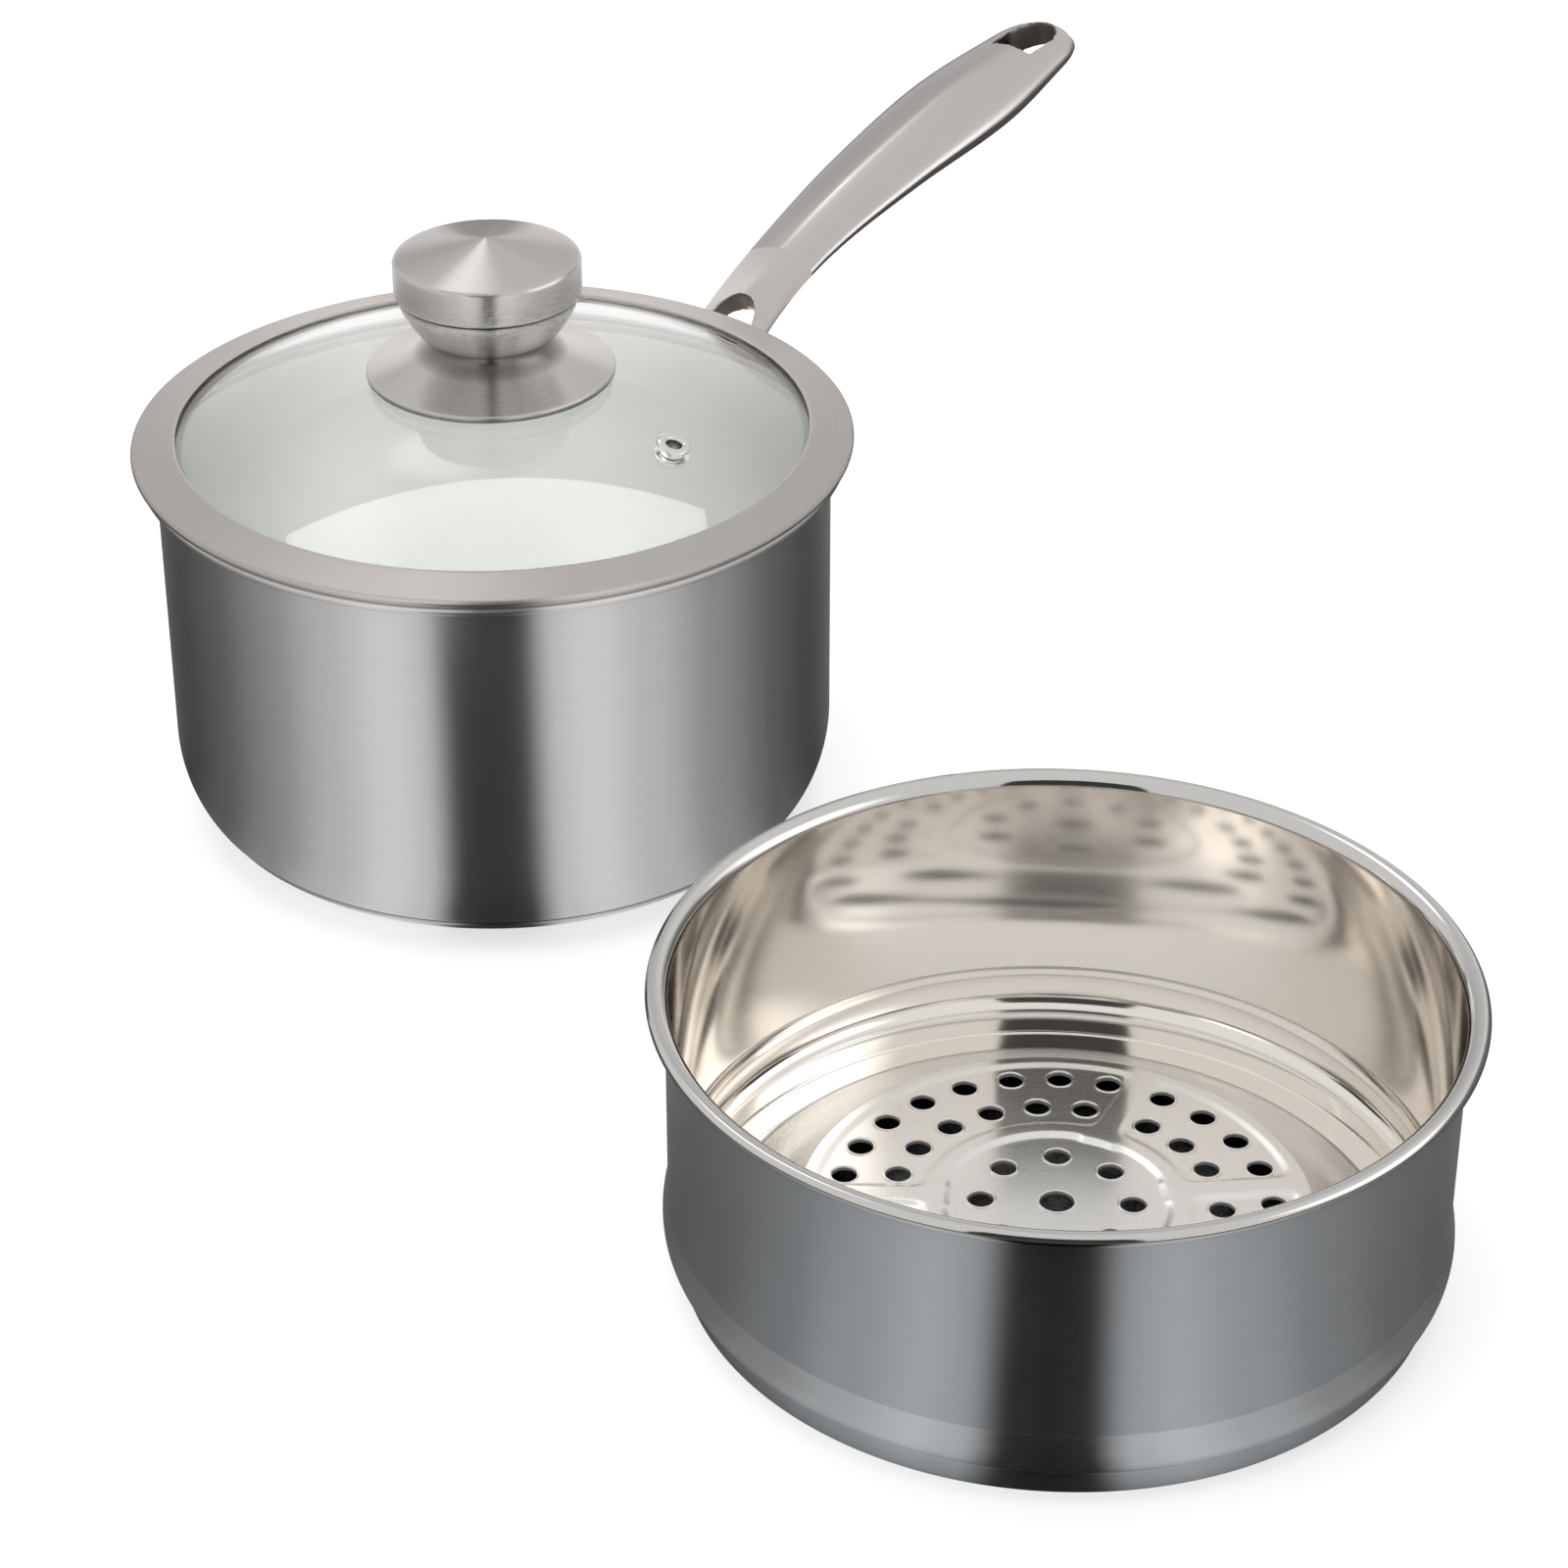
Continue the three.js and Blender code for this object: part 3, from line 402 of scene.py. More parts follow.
@dataclass
class Board:
    """A node tree with short ways to add and join its nodes."""

    tree: bpy.types.NodeTree

    def node(self, kind: str, inputs: dict | None = None, **settings: object) -> bpy.types.Node:
        """Adds a node.

        Args:
            kind: Type of the node.
            inputs: Values or sockets for its inputs, by name or place.
            **settings: Its own properties.

        Returns:
            The new node.
        """
        made = self.tree.nodes.new(kind)
        for name, value in settings.items():
            setattr(made, name, value)
        for name, value in (inputs or {}).items():
            self.feed(made.inputs[name], value)
        return made

    def feed(self, socket: Socket, value: object) -> None:
        """Links an input to another socket, or sets the input's own value."""
        if isinstance(value, Socket):
            self.tree.links.new(value, socket)
        else:
            socket.default_value = value

    def result(self, kind: str, inputs: dict | None = None, **settings: object) -> Socket:
        """Adds a node and returns its first output."""
        return self.node(kind, inputs, **settings).outputs[0]

    def maths(self, operation: str, first: object, second: object = 0.0) -> Socket:
        """Adds a sum of two values and returns its result."""
        return self.result("ShaderNodeMath", {0: first, 1: second}, operation=operation)

    def vectors(self, operation: str, first: object, second: object = (0, 0, 0)) -> bpy.types.Node:
        """Adds a sum of two vectors."""
        return self.node("ShaderNodeVectorMath", {0: first, 1: second}, operation=operation)

    def measure(self, operation: str, first: object, second: object = (0, 0, 0)) -> Socket:
        """Adds a sum of two vectors whose result is one value, and returns it."""
        return self.vectors(operation, first, second).outputs["Value"]

    def mapped(self, coords: Socket, **change: Place) -> Socket:
        """Moves or turns coordinates and returns the result."""
        return self.result("ShaderNodeMapping", {"Vector": coords, **change})

    def axes(self, coords: Socket) -> list[Socket]:
        """Splits coordinates into their three values."""
        return list(self.node("ShaderNodeSeparateXYZ", {0: coords}).outputs)

    def spread(
        self, value: object, low: float, high: float, reach: Point = (0.0, 1.0), way: str = "LINEAR"
    ) -> Socket:
        """Spreads a value over a range.

        Args:
            value: Value to spread.
            low: Result at the start of its reach.
            high: Result at the end of its reach.
            reach: Values at the start and the end.
            way: How the result runs between the two.

        Returns:
            The result.
        """
        inputs = {"Value": value, "From Min": reach[0], "From Max": reach[1], "To Min": low, "To Max": high}
        return self.result("ShaderNodeMapRange", inputs, interpolation_type=way)

    def blend(self, share: object, first: object, second: object) -> Socket:
        """Mixes two colours and returns the result."""
        mix = self.node("ShaderNodeMix", data_type="RGBA")
        self.feed(mix.inputs["Factor"], share)
        for place, colour in zip(MIX_INPUTS, (first, second)):
            self.feed(mix.inputs[place], colour)
        return mix.outputs[MIX_RESULT]

    def toned(self, share: object, colour: Colour, contrast: float) -> Socket:
        """Varies a colour from darker to paler by a contrast and returns the result."""
        return self.blend(share, opaque(colour, 1 - contrast), opaque(colour, 1 + contrast))

    def relief(self, height: Socket, depth: float) -> Socket:
        """Turns a height, with a depth in millimetres, into a normal."""
        return self.result("ShaderNodeBump", {"Height": height, "Distance": depth * MM})

    def openness(self, reach: float) -> Socket:
        """Value that is 1 in the open and less where other surfaces are within a reach."""
        inputs = {"Distance": reach}
        return self.node("ShaderNodeAmbientOcclusion", inputs, samples=OCCLUSION_SAMPLES).outputs["AO"]

    def seen(self) -> Socket:
        """Value that is 1 for what the camera, mirrors and glass see, and 0 for other light."""
        path = self.node("ShaderNodeLightPath").outputs
        seen = self.maths("MAXIMUM", path["Is Camera Ray"], path["Is Glossy Ray"])
        return self.maths("MAXIMUM", seen, path["Is Transmission Ray"])

    def effect(self, group: bpy.types.NodeTree, inputs: dict) -> dict[str, Socket]:
        """Adds a node group with its inputs and returns its outputs by name."""
        outputs = self.node("ShaderNodeGroup", inputs, node_tree=group).outputs
        return {socket.name: socket for socket in outputs}

    def mix(self, share: object, first: object, second: object) -> Socket:
        """Mixes two shaders and returns the result."""
        return self.result("ShaderNodeMixShader", {0: share, 1: first, 2: second})

    def shade(self, inputs: dict[str, object]) -> Socket:
        """Feeds the inputs of the tree's own surface and returns its shader."""
        surface = self.tree.nodes["Principled BSDF"]
        for name, value in inputs.items():
            self.feed(surface.inputs[name], value)
        return surface.outputs[0]

    def show(self, shader: Socket) -> None:
        """Makes a shader the one that the material shows."""
        self.feed(self.tree.nodes["Material Output"].inputs[0], shader)


def opaque(colour: Colour, level: float = 1.0) -> tuple[float, float, float, float]:
    """A colour at a brightness, with full alpha."""
    return (colour[0] * level, colour[1] * level, colour[2] * level, 1.0)


def new_material(name: str, glows: bool = False) -> tuple[Material, Board, Socket]:
    """Starts a material.

    Args:
        name: Name of the material.
        glows: Whether it only gives light, and so has no surface of its own.

    Returns:
        The material, its board and the coordinates of the piece that it is on.
    """
    made = bpy.data.materials.new(name)
    made.use_nodes = True
    board = Board(made.node_tree)
    if glows:
        board.tree.nodes.remove(board.tree.nodes["Principled BSDF"])
    return made, board, board.node("ShaderNodeTexCoord").outputs["Object"]


def new_group(name: str, inputs: tuple[str, ...], outputs: tuple[str, ...]) -> tuple[Board, dict, dict]:
    """Starts a shader node group.

    Args:
        name: Name of the group.
        inputs: Its inputs, all plain values apart from the one named Vector.
        outputs: Its outputs, all plain values.

    Returns:
        Its board, its input sockets and its output sockets, by name.
    """
    tree = bpy.data.node_groups.new(name, "ShaderNodeTree")
    for label in inputs:
        kind = "NodeSocketVector" if label == "Vector" else "NodeSocketFloat"
        tree.interface.new_socket(label, in_out="INPUT", socket_type=kind)
    for label in outputs:
        tree.interface.new_socket(label, in_out="OUTPUT", socket_type="NodeSocketFloat")
    board = Board(tree)
    source = board.node("NodeGroupInput").outputs
    target = board.node("NodeGroupOutput").inputs
    return board, {n: source[n] for n in inputs}, {n: target[n] for n in outputs}


class SharedEffects:
    """Effects that several finishes use, each one a node group that is made once."""

    @staticmethod
    @cache
    def turned_lines() -> bpy.types.NodeTree:
        """Fine brush lines round the Z axis, and broader bands among them."""
        board, given, made = new_group("turned_lines", ("Vector", "Width", "Breaks"), ("Lines", "Bands"))
        axes = board.axes(given["Vector"])
        squares = board.maths("ADD", board.maths("POWER", axes[0], 2), board.maths("POWER", axes[1], 2))
        radius = board.maths("SQRT", board.maths("ADD", squares, AXIS_GUARD))
        around = board.maths("DIVIDE", given["Breaks"], radius)
        for label, widening, detail in (("Lines", 1.0, 3.0), ("Bands", 9.0, 1.5)):
            width = board.maths("MULTIPLY", given["Width"], widening)
            place = {
                0: board.maths("MULTIPLY", axes[0], around),
                1: board.maths("MULTIPLY", axes[1], around),
                2: board.maths("DIVIDE", radius, width),
            }
            noise = {
                "Vector": board.result("ShaderNodeCombineXYZ", place),
                "W": board.maths("DIVIDE", axes[2], width),
                "Scale": 1.0,
                "Detail": detail,
            }
            board.feed(made[label], board.result("ShaderNodeTexNoise", noise, noise_dimensions="4D"))
        return board.tree

    @staticmethod
    @cache
    def long_lines() -> bpy.types.NodeTree:
        """Fine satin lines along the X axis of the coordinates that it is given."""
        board, given, made = new_group("long_lines", ("Vector", "Width", "Length"), ("Lines",))
        axes = board.axes(given["Vector"])
        spans = (given["Length"], given["Width"], given["Width"])
        shares = {i: board.maths("DIVIDE", axes[i], span) for i, span in enumerate(spans)}
        place = board.result("ShaderNodeCombineXYZ", shares)
        noise = board.result("ShaderNodeTexNoise", {"Vector": place, "Scale": 1.0, "Detail": 2.0})
        board.feed(made["Lines"], noise)
        return board.tree

    @staticmethod
    @cache
    def handling_marks() -> bpy.types.NodeTree:
        """Soft cloudy marks that handling and washing leave on a surface."""
        board, given, made = new_group("handling_marks", ("Vector", "Size"), ("Marks",))
        scale = board.maths("DIVIDE", 1.0, given["Size"])
        inputs = {"Vector": given["Vector"], "Scale": scale, "Detail": 4.0, "Roughness": 0.6}
        noise = board.result("ShaderNodeTexNoise", inputs)
        board.feed(made["Marks"], board.spread(noise, *MARK_RANGE))
        return board.tree

    @classmethod
    def marks(cls, board: Board, coords: Socket, size: float) -> Socket:
        """Adds handling marks of a size in millimetres to a board and returns them."""
        return board.effect(cls.handling_marks(), {"Vector": coords, "Size": size * MM})["Marks"]


@dataclass(frozen=True)
class TurnedSteel:
    """Steel brushed or polished round a vertical axis, with painted shade near other surfaces if asked."""

    name: str
    colour: Colour
    roughness: float
    anisotropy: float = 0.8
    line_width: float = 0.2
    contrast: float = 0.06
    relief: float = 0.004
    breaks: float = 4.0
    uneven: float = 0.03
    centre: Point = PAN_CENTRE
    painted_shade_reach: float = 0.0
    painted_shade_power: float = 3.2
    painted_shade_level: float = 0.08
    band_share: float = 0.35
    mark_size: float = 40.0
    quarter_turn: float = 0.25

    def material(self) -> Material:
        """Makes the material.

        Returns:
            A metal with lines round the axis in its colour, roughness and relief, and with painted shade
            darkening its colour where other surfaces are near.
        """
        made, board, coords = new_material(self.name)
        centred = board.mapped(coords, Location=(-self.centre[0] * MM, -self.centre[1] * MM, 0))
        sizes = {"Vector": centred, "Width": self.line_width * MM, "Breaks": self.breaks}
        brushing = board.effect(SharedEffects.turned_lines(), sizes)
        lines = brushing["Lines"]
        marks = SharedEffects.marks(board, centred, self.mark_size)
        both = board.blend(self.band_share, lines, brushing["Bands"])
        colour = board.toned(both, self.colour, self.contrast)
        # Painted shade: ambient occlusion darkens the colour in creases and under overhangs, down to a dark
        # copy of the steel.
        if self.painted_shade_reach:
            clear = board.maths("POWER", board.openness(self.painted_shade_reach * MM), self.painted_shade_power)
            colour = board.blend(clear, opaque(self.colour, self.painted_shade_level), colour)
        rough = board.spread(marks, *either_side(self.roughness, self.uneven))
        grain = board.spread(lines, *either_side(0.0, self.uneven))
        board.shade(
            {
                "Base Color": colour,
                "Metallic": 1.0,
                "Roughness": board.maths("ADD", rough, grain),
                "Normal": board.relief(lines, self.relief),
                "Anisotropic": self.anisotropy,
                "Anisotropic Rotation": self.quarter_turn,
                "Tangent": board.result("ShaderNodeTangent", direction_type="RADIAL", axis="Z"),
            }
        )
        return made


@dataclass(frozen=True)
class SatinSteel:
    """Steel with a satin finish that runs along a slanting piece."""

    name: str
    colour: Colour
    roughness: float
    slant: float
    line_width: float = 0.18
    line_length: float = 9.0
    contrast: float = 0.05
    relief: float = 0.004
    uneven: float = 0.04
    mark_size: float = 25.0

    def material(self) -> Material:
        """Makes the material.

        Returns:
            A metal with fine lines along the piece and soft marks of handling.
        """
        made, board, coords = new_material(self.name)
        along = board.mapped(coords, Rotation=(0, math.radians(self.slant), 0))
        sizes = {"Vector": along, "Width": self.line_width * MM, "Length": self.line_length * MM}
        lines = board.effect(SharedEffects.long_lines(), sizes)["Lines"]
        marks = SharedEffects.marks(board, coords, self.mark_size)
        board.shade(
            {
                "Base Color": board.toned(lines, self.colour, self.contrast),
                "Metallic": 1.0,
                "Roughness": board.spread(marks, *either_side(self.roughness, self.uneven)),
                "Normal": board.relief(lines, self.relief),
            }
        )
        return made


@dataclass(frozen=True)
class ClearGlass:
    """Tempered glass with a faint green cast and a little haze."""

    name: str = "lid_glass"
    colour: Colour = (0.97, 0.985, 0.975)
    haze: float = 0.025
    index: float = 1.5
    mark_size: float = 30.0

    def material(self) -> Material:
        """Makes the material.

        Returns:
            A clear glass that lets light through to what lies under it.
        """
        made, board, coords = new_material(self.name)
        marks = SharedEffects.marks(board, coords, self.mark_size)
        glass = board.shade(
            {
                "Base Color": opaque(self.colour),
                "Roughness": board.spread(marks, 0.0, self.haze),
                "IOR": self.index,
                "Transmission Weight": 1.0,
            }
        )
        clear = board.result("ShaderNodeBsdfTransparent", {"Color": opaque(self.colour)})
        shadow = board.node("ShaderNodeLightPath").outputs["Is Shadow Ray"]
        board.show(board.mix(shadow, glass, clear))
        return made


@dataclass(frozen=True)
class PlainFinish:
    """A plain finish with a fine grain, for rubber, small fittings and metal out of sight."""

    name: str
    colour: Colour
    roughness: float
    metallic: float
    grain_size: float = 0.6
    contrast: float = 0.05
    uneven: float = 0.06
    relief: float = 0.01

    def material(self) -> Material:
        """Makes the material.

        Returns:
            A finish whose colour, roughness and relief vary by a fine grain.
        """
        made, board, coords = new_material(self.name)
        grain = SharedEffects.marks(board, coords, self.grain_size)
        board.shade(
            {
                "Base Color": board.toned(grain, self.colour, self.contrast),
                "Metallic": self.metallic,
                "Roughness": board.spread(grain, *either_side(self.roughness, self.uneven)),
                "Normal": board.relief(grain, self.relief),
            }
        )
        return made


def dress_solid(node: str, material: Material) -> None:
    """Gives a solid that stays as it is a better material."""
    finish_faces(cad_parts[node], [material])
    LOG.info("solid %s: dressed in %s", node, material.name)


PAN_OUTSIDE = TurnedSteel("pan_brushed_outside", (0.71, 0.71, 0.71), 0.33, 0.85)
PAN_INSIDE = TurnedSteel("pan_satin_inside", (0.93, 0.93, 0.915), 0.42, 0.4, contrast=0.02)
RING_SATIN = TurnedSteel("lid_ring_satin", (0.54, 0.51, 0.495), 0.36, 0.6, line_width=0.14)
# The knob's steel has painted shade where its parts meet and overhang each other.
KNOB_SATIN = TurnedSteel(
    "knob_satin", (0.62, 0.595, 0.58), 0.27, 0.9, line_width=0.12, contrast=0.08, painted_shade_reach=6.5
)
STEAMER_OUTSIDE = TurnedSteel(
    "steamer_brushed_outside", (0.60, 0.615, 0.63), 0.33, 0.85, centre=STEAMER_CENTRE
)
STEAMER_INSIDE = TurnedSteel(
    "steamer_polished_inside",
    (0.90, 0.86, 0.81),
    0.10,
    0.3,
    line_width=0.3,
    contrast=0.015,
    relief=0.0008,
    uneven=0.015,
    centre=STEAMER_CENTRE,
)
STEAMER_RIM = TurnedSteel(
    "steamer_polished_rim",
    (0.68, 0.665, 0.645),
    0.09,
    0.3,
    contrast=0.02,
    uneven=0.015,
    centre=STEAMER_CENTRE,
)
STEAMER_PLATE = TurnedSteel(
    "steamer_satin_plate", (0.90, 0.88, 0.85), 0.27, 0.2, contrast=0.03, centre=STEAMER_CENTRE
)
# The bead is the outside steel made lighter: a painted highlight band along the bead.
STEAMER_BEAD_HIGHLIGHT = TurnedSteel(
    "steamer_bead_painted_highlight",
    (0.75, 0.76, 0.77),
    0.27,
    0.85,
    contrast=0.03,
    relief=0.001,
    centre=STEAMER_CENTRE,
)
SMALL_POLISHED = PlainFinish("polished_fitting", (0.78, 0.76, 0.73), 0.2, 1.0, grain_size=2.0)
HANDLE_SATIN = SatinSteel("handle_satin", (0.60, 0.57, 0.555), 0.27, slant=18)
HANDLE_INSIDE = PlainFinish("handle_cast_inside", (0.34, 0.29, 0.26), 0.55, 1.0)
ALUMINIUM = PlainFinish("rolled_aluminium", (0.66, 0.67, 0.68), 0.5, 1.0)
SILICONE_RUBBER = PlainFinish("silicone_rubber", (0.80, 0.79, 0.76), 0.6, 0.0)


@dataclass
class PanVessel:
    """The drawn vessel with its capsule base."""

    inner_radius: float = 90.0
    sheet: float = 0.8
    height: float = 108.0
    lip_radius: float = 95.5
    lip_roll: float = 1.3
    lip_bend: float = 2.6
    corner_width: float = 19.8
    corner_height: float = 27.0
    base_thickness: float = 6.4
    cap_sheet: float = 0.6
    seam: float = 0.4
    floor_bend: float = 3.0
    corner_steps: int = 20
    edge_round: float = 1.2
    neck_gap: float = 0.3
    neck_end: float = 112.0
    neck_steps: int = 6
    roll_start: float = -120.0
    roll_steps: int = 14
    floor_share: float = 0.8
    floor_facing: float = 0.5

    def corner(self, start: float, end: float, inset: float) -> Profile:
        """Points on the rounded base corner between two sweep angles, drawn in by an inset."""
        flat = self.inner_radius + self.sheet - self.corner_width
        angles = [lerp(start, end, i / self.corner_steps) for i in range(self.corner_steps + 1)]
        return [
            (
                flat + (self.corner_width - inset) * math.sin(angle),
                self.corner_height - (self.corner_height - inset) * math.cos(angle),
            )
            for angle in angles
        ]

    def corner_angle(self, height: float, inset: float) -> float:
        """Sweep angle at which the corner, drawn in by an inset, reaches a height."""
        return math.acos((self.corner_height - height) / (self.corner_height - inset))

    def shell_profile(self) -> Profile:
        """Profile of the vessel: the outside up to a rolled lip, and the inside back down."""
        upright = math.pi / 2
        bend = self.floor_bend / self.corner_width
        floor_out = self.corner_angle(self.base_thickness, 0)
        floor_in = self.corner_angle(self.base_thickness + self.sheet, self.sheet)
        outside = self.corner(floor_out + bend, upright, 0)
        inside = self.corner(upright, floor_in + bend, self.sheet)
        roll = (self.lip_radius - self.lip_roll, self.height - self.lip_roll)
        wall = self.inner_radius + self.sheet
        neck = (wall + self.lip_bend, roll[1] - self.lip_roll - self.neck_gap)
        mouth = self.lip_bend + self.sheet
        return [
            (0.0, self.base_thickness),
            (outside[0][0] - self.floor_bend, self.base_thickness),
            *outside,
            *arc(neck, (self.lip_bend, self.lip_bend), 180, self.neck_end, self.neck_steps),
            *arc(roll, (self.lip_roll, self.lip_roll), self.roll_start, 90, self.roll_steps),
            *arc((wall + self.lip_bend, self.height - mouth), (mouth, mouth), 90, 180),
            *inside,
            (inside[-1][0] - self.floor_bend, self.base_thickness + self.sheet),
            (0.0, self.base_thickness + self.sheet),
        ]

    def build_shell(self) -> Piece:
        """Turns the vessel and gives its two sides their finishes."""
        shell = turned("pan_vessel", softened(self.shell_profile(), self.edge_round))
        limit = (self.inner_radius + self.sheet / 2) * MM

        def side(middle: Vector, normal: Vector) -> Side:
            """Tells the inside of the vessel from its outside."""
            across = Vector((middle.x, middle.y))
            outward = across.dot(Vector((normal.x, normal.y)))
            on_floor = across.length < limit * self.floor_share and normal.z > self.floor_facing
            on_wall = across.length < limit and outward < 0
            return Side.INSIDE if on_floor or on_wall else Side.OUTSIDE

        finish_faces(shell, [PAN_OUTSIDE.material(), PAN_INSIDE.material()], side)
        return shell

    def build_cap(self) -> Piece:
        """Turns the thin cap that closes the base."""
        edge = self.corner_angle(self.base_thickness - self.seam, 0)
        profile = [
            (0.0, 0.0),
            *self.corner(0, edge, 0),
            *self.corner(edge, 0, self.cap_sheet),
            (0.0, self.cap_sheet),
        ]
        return turned("base_cap_cover", profile)

    def build(self) -> None:
        """Builds the vessel and its cap, and dresses the disc between them."""
        place_piece(self.build_shell(), Body.PAN, "pan_shell")
        cap = self.build_cap()
        finish_faces(cap, [PAN_OUTSIDE.material()])
        place_piece(cap, Body.PAN, "base_cap")
        dress_solid("base_core", ALUMINIUM.material())


@dataclass
class Handle:
    """The hollow cast handle and the pad that fixes it to the wall."""

    root: Point = (92.1, 93.5)
    steep: Point = (20.4, 30.2)
    level: Point = (107.1, 43.6)
    tip: Point = (171.5, 52.8)
    half_widths: tuple[float, ...] = (11.8, 11.8, 15.2, 17.6, 13.0)
    half_depths: tuple[float, ...] = (4.9, 5.6, 8.2, 10.6, 7.0)
    crown: float = 0.52
    shoulder_drop: float = 0.22
    ridge: float = 0.4
    ridge_softness: float = 0.035
    tip_share: float = 0.07
    tip_power: float = 2.4
    tip_width: float = 0.5
    tip_depth: float = 0.55
    wall: float = 2.0
    fork_start: float = 4.0
    fork_length: float = 21.0
    fork_half_width: float = 7.0
    fork_web: float = 11.0
    eye_length: float = 20.0
    eye_half_width: float = 7.0
    eye_end_wall: float = 1.8
    buried: float = 8.0
    sides: int = 64
    stations: int = 72
    pad_inner: float = 91.1
    pad_thickness: float = 2.6
    pad_width: float = 33.0
    pad_levels: Point = (72.9, 99.9)
    pad_corner: float = 7.0
    voxel: float = 0.55
    smoothing: int = 10
    smoothing_share: float = 0.5
    guide_reach: Point = (0.2, 0.45)
    line_steps: int = 400
    spine_steps: int = 96
    arch_steps: int = 24
    cut_drop: float = 40.0
    pad_reach: float = 60.0
    pad_corner_steps: int = 8
    sharp_edge: float = 60.0
    side_facing: float = 0.3
    fork_facing: float = 0.018
    eye_facing: float = 0.6
    eye_margin: float = 1.2

    def line_points(self) -> list[Vector]:
        """Control points of the handle's centre line, in metres."""
        offsets = [(0.0, 0.0), self.steep, self.level, self.tip]
        return [Vector((self.root[0] + x, 0, self.root[1] + z)) * MM for x, z in offsets]

    def length(self) -> float:
        """Length of the centre line in millimetres."""
        points = bezier([(p.x, p.z) for p in self.line_points()], self.line_steps)
        return sum(math.dist(a, b) for a, b in zip(points, points[1:])) / MM

    @staticmethod
    def at_station(values: tuple[float, ...], share: float) -> float:
        """Smooth value through even stations, at a share of the whole."""
        last = len(values) - 1
        where = min(max(share, 0.0), 1.0) * last
        index = min(int(where), last - 1)
        t = where - index
        before = values[max(index - 1, 0)]
        here, there = values[index], values[index + 1]
        after = values[min(index + 2, last)]
        slope_here = (there - before) / 2
        slope_there = (after - here) / 2
        return (
            (2 * t**3 - 3 * t**2 + 1) * here
            + (t**3 - 2 * t**2 + t) * slope_here
            + (3 * t**2 - 2 * t**3) * there
            + (t**3 - t**2) * slope_there
        )

    def half_sizes(self, share: float) -> Point:
        """Half width and half depth of the handle at a share of its length."""
        over_tip = max(0.0, 1 - (1 - share) / self.tip_share)
        full = math.sqrt(max(0.0, 1 - min(1.0, over_tip) ** self.tip_power))
        width = self.at_station(self.half_widths, share) * lerp(self.tip_width, 1, full)
        depth = self.at_station(self.half_depths, share) * lerp(self.tip_depth, 1, full)
        return width, depth

    def section(self) -> Profile:
        """Section of unit half width and half depth: a ridged crown over a round belly."""
        points = []
        for i in range(self.sides):
            angle = math.tau * i / self.sides
            across, rise = math.cos(angle), math.sin(angle)
            roof = 1 - math.hypot(across, self.ridge_softness) + self.ridge_softness
            share = lerp(rise, roof, self.ridge) if rise > 0 else rise
            reach = self.crown + self.shoulder_drop if rise > 0 else 1 - self.shoulder_drop
            points.append((across, reach * share - self.shoulder_drop))
        return points

    def bar(self, name: str, start: float, end: float, inset: float) -> Piece:
        """Extrudes the section along X with the handle's sizes, before it is bent.

        Args:
            name: Name of the new piece.
            start: Where it starts along the centre line.
            end: Where it ends.
            inset: How far it is drawn in from the handle's outside.

        Returns:
            A straight closed bar.
        """
        length = self.length()
        places = [lerp(start, end, i / self.stations) for i in range(self.stations + 1)]
        sizes = []
        for place in places:
            width, depth = self.half_sizes(place / length)
            sizes.append((width - inset, depth - inset))
        first = [
            Vector((start, across * sizes[0][0], rise * sizes[0][1])) * MM
            for across, rise in self.section()
        ]
        piece = chain(name, first)
        bpy.ops.mesh.edge_face_add()
        for i in range(self.stations):
            step = (places[i + 1] - places[i]) * MM
            bpy.ops.mesh.extrude_region_move(TRANSFORM_OT_translate={"value": (step, 0, 0)})
            growth = (1, sizes[i + 1][0] / sizes[i][0], sizes[i + 1][1] / sizes[i][1])
            bpy.ops.transform.resize(value=growth, center_override=(places[i + 1] * MM, 0, 0))
        close_mesh()
        return piece

    def slot(self, name: str, outline: Profile, middle: float) -> Piece:
        """Upright prism through the straight bar, from an outline about a place on its line."""
        corners = [Vector((middle + x, y, -self.cut_drop)) * MM for x, y in outline]
        return prism(name, corners, Vector((0, 0, 2 * self.cut_drop)) * MM)

    def bend(self, piece: Piece) -> None:
        """Bends a straight bar along the handle's centre line."""
        deselect_all()
        bpy.ops.curve.primitive_bezier_curve_add()
        spine = bpy.context.object
        root, steep, level, tip = self.line_points()
        spine.data.resolution_u = self.spine_steps
        spine.data.twist_mode = "Z_UP"
        start, end = spine.data.splines[0].bezier_points
        for point in (start, end):
            point.handle_left_type = "FREE"
            point.handle_right_type = "FREE"
        start.co, start.handle_right, start.handle_left = root, steep, 2 * root - steep
        end.co, end.handle_left, end.handle_right = tip, level, 2 * tip - level
        modify(piece, "CURVE", object=spine, deform_axis="POS_X")
        bpy.data.objects.remove(spine)

    def pad(self) -> Piece:
        """Plate that follows the pan's wall, with rounded corners."""
        low, high = self.pad_levels
        outer = self.pad_inner + self.pad_thickness
        ring = turned("pad", band(self.pad_inner, outer, low, high))
        deselect_all()
        bpy.ops.mesh.primitive_cube_add(size=1)
        block = bpy.context.object
        block.scale = (self.pad_reach * MM, self.pad_width * MM, (high - low) * MM)
        block.location = (outer * MM, 0, (low + high) / 2 * MM)
        bpy.ops.object.transform_apply(location=True, rotation=True, scale=True)
        for edge in block.data.edges:
            first, second = (block.data.vertices[i].co for i in edge.vertices)
            edge.select = abs(first.x - second.x) > self.pad_thickness * MM
        bpy.ops.object.mode_set(mode="EDIT")
        bpy.ops.mesh.select_mode(type="EDGE")
        bpy.ops.mesh.bevel(offset=self.pad_corner * MM, segments=self.pad_corner_steps)
        bpy.ops.mesh.select_mode(type="VERT")
        close_mesh()
        combine(ring, block, Cut.KEEP_SHARED)
        return ring

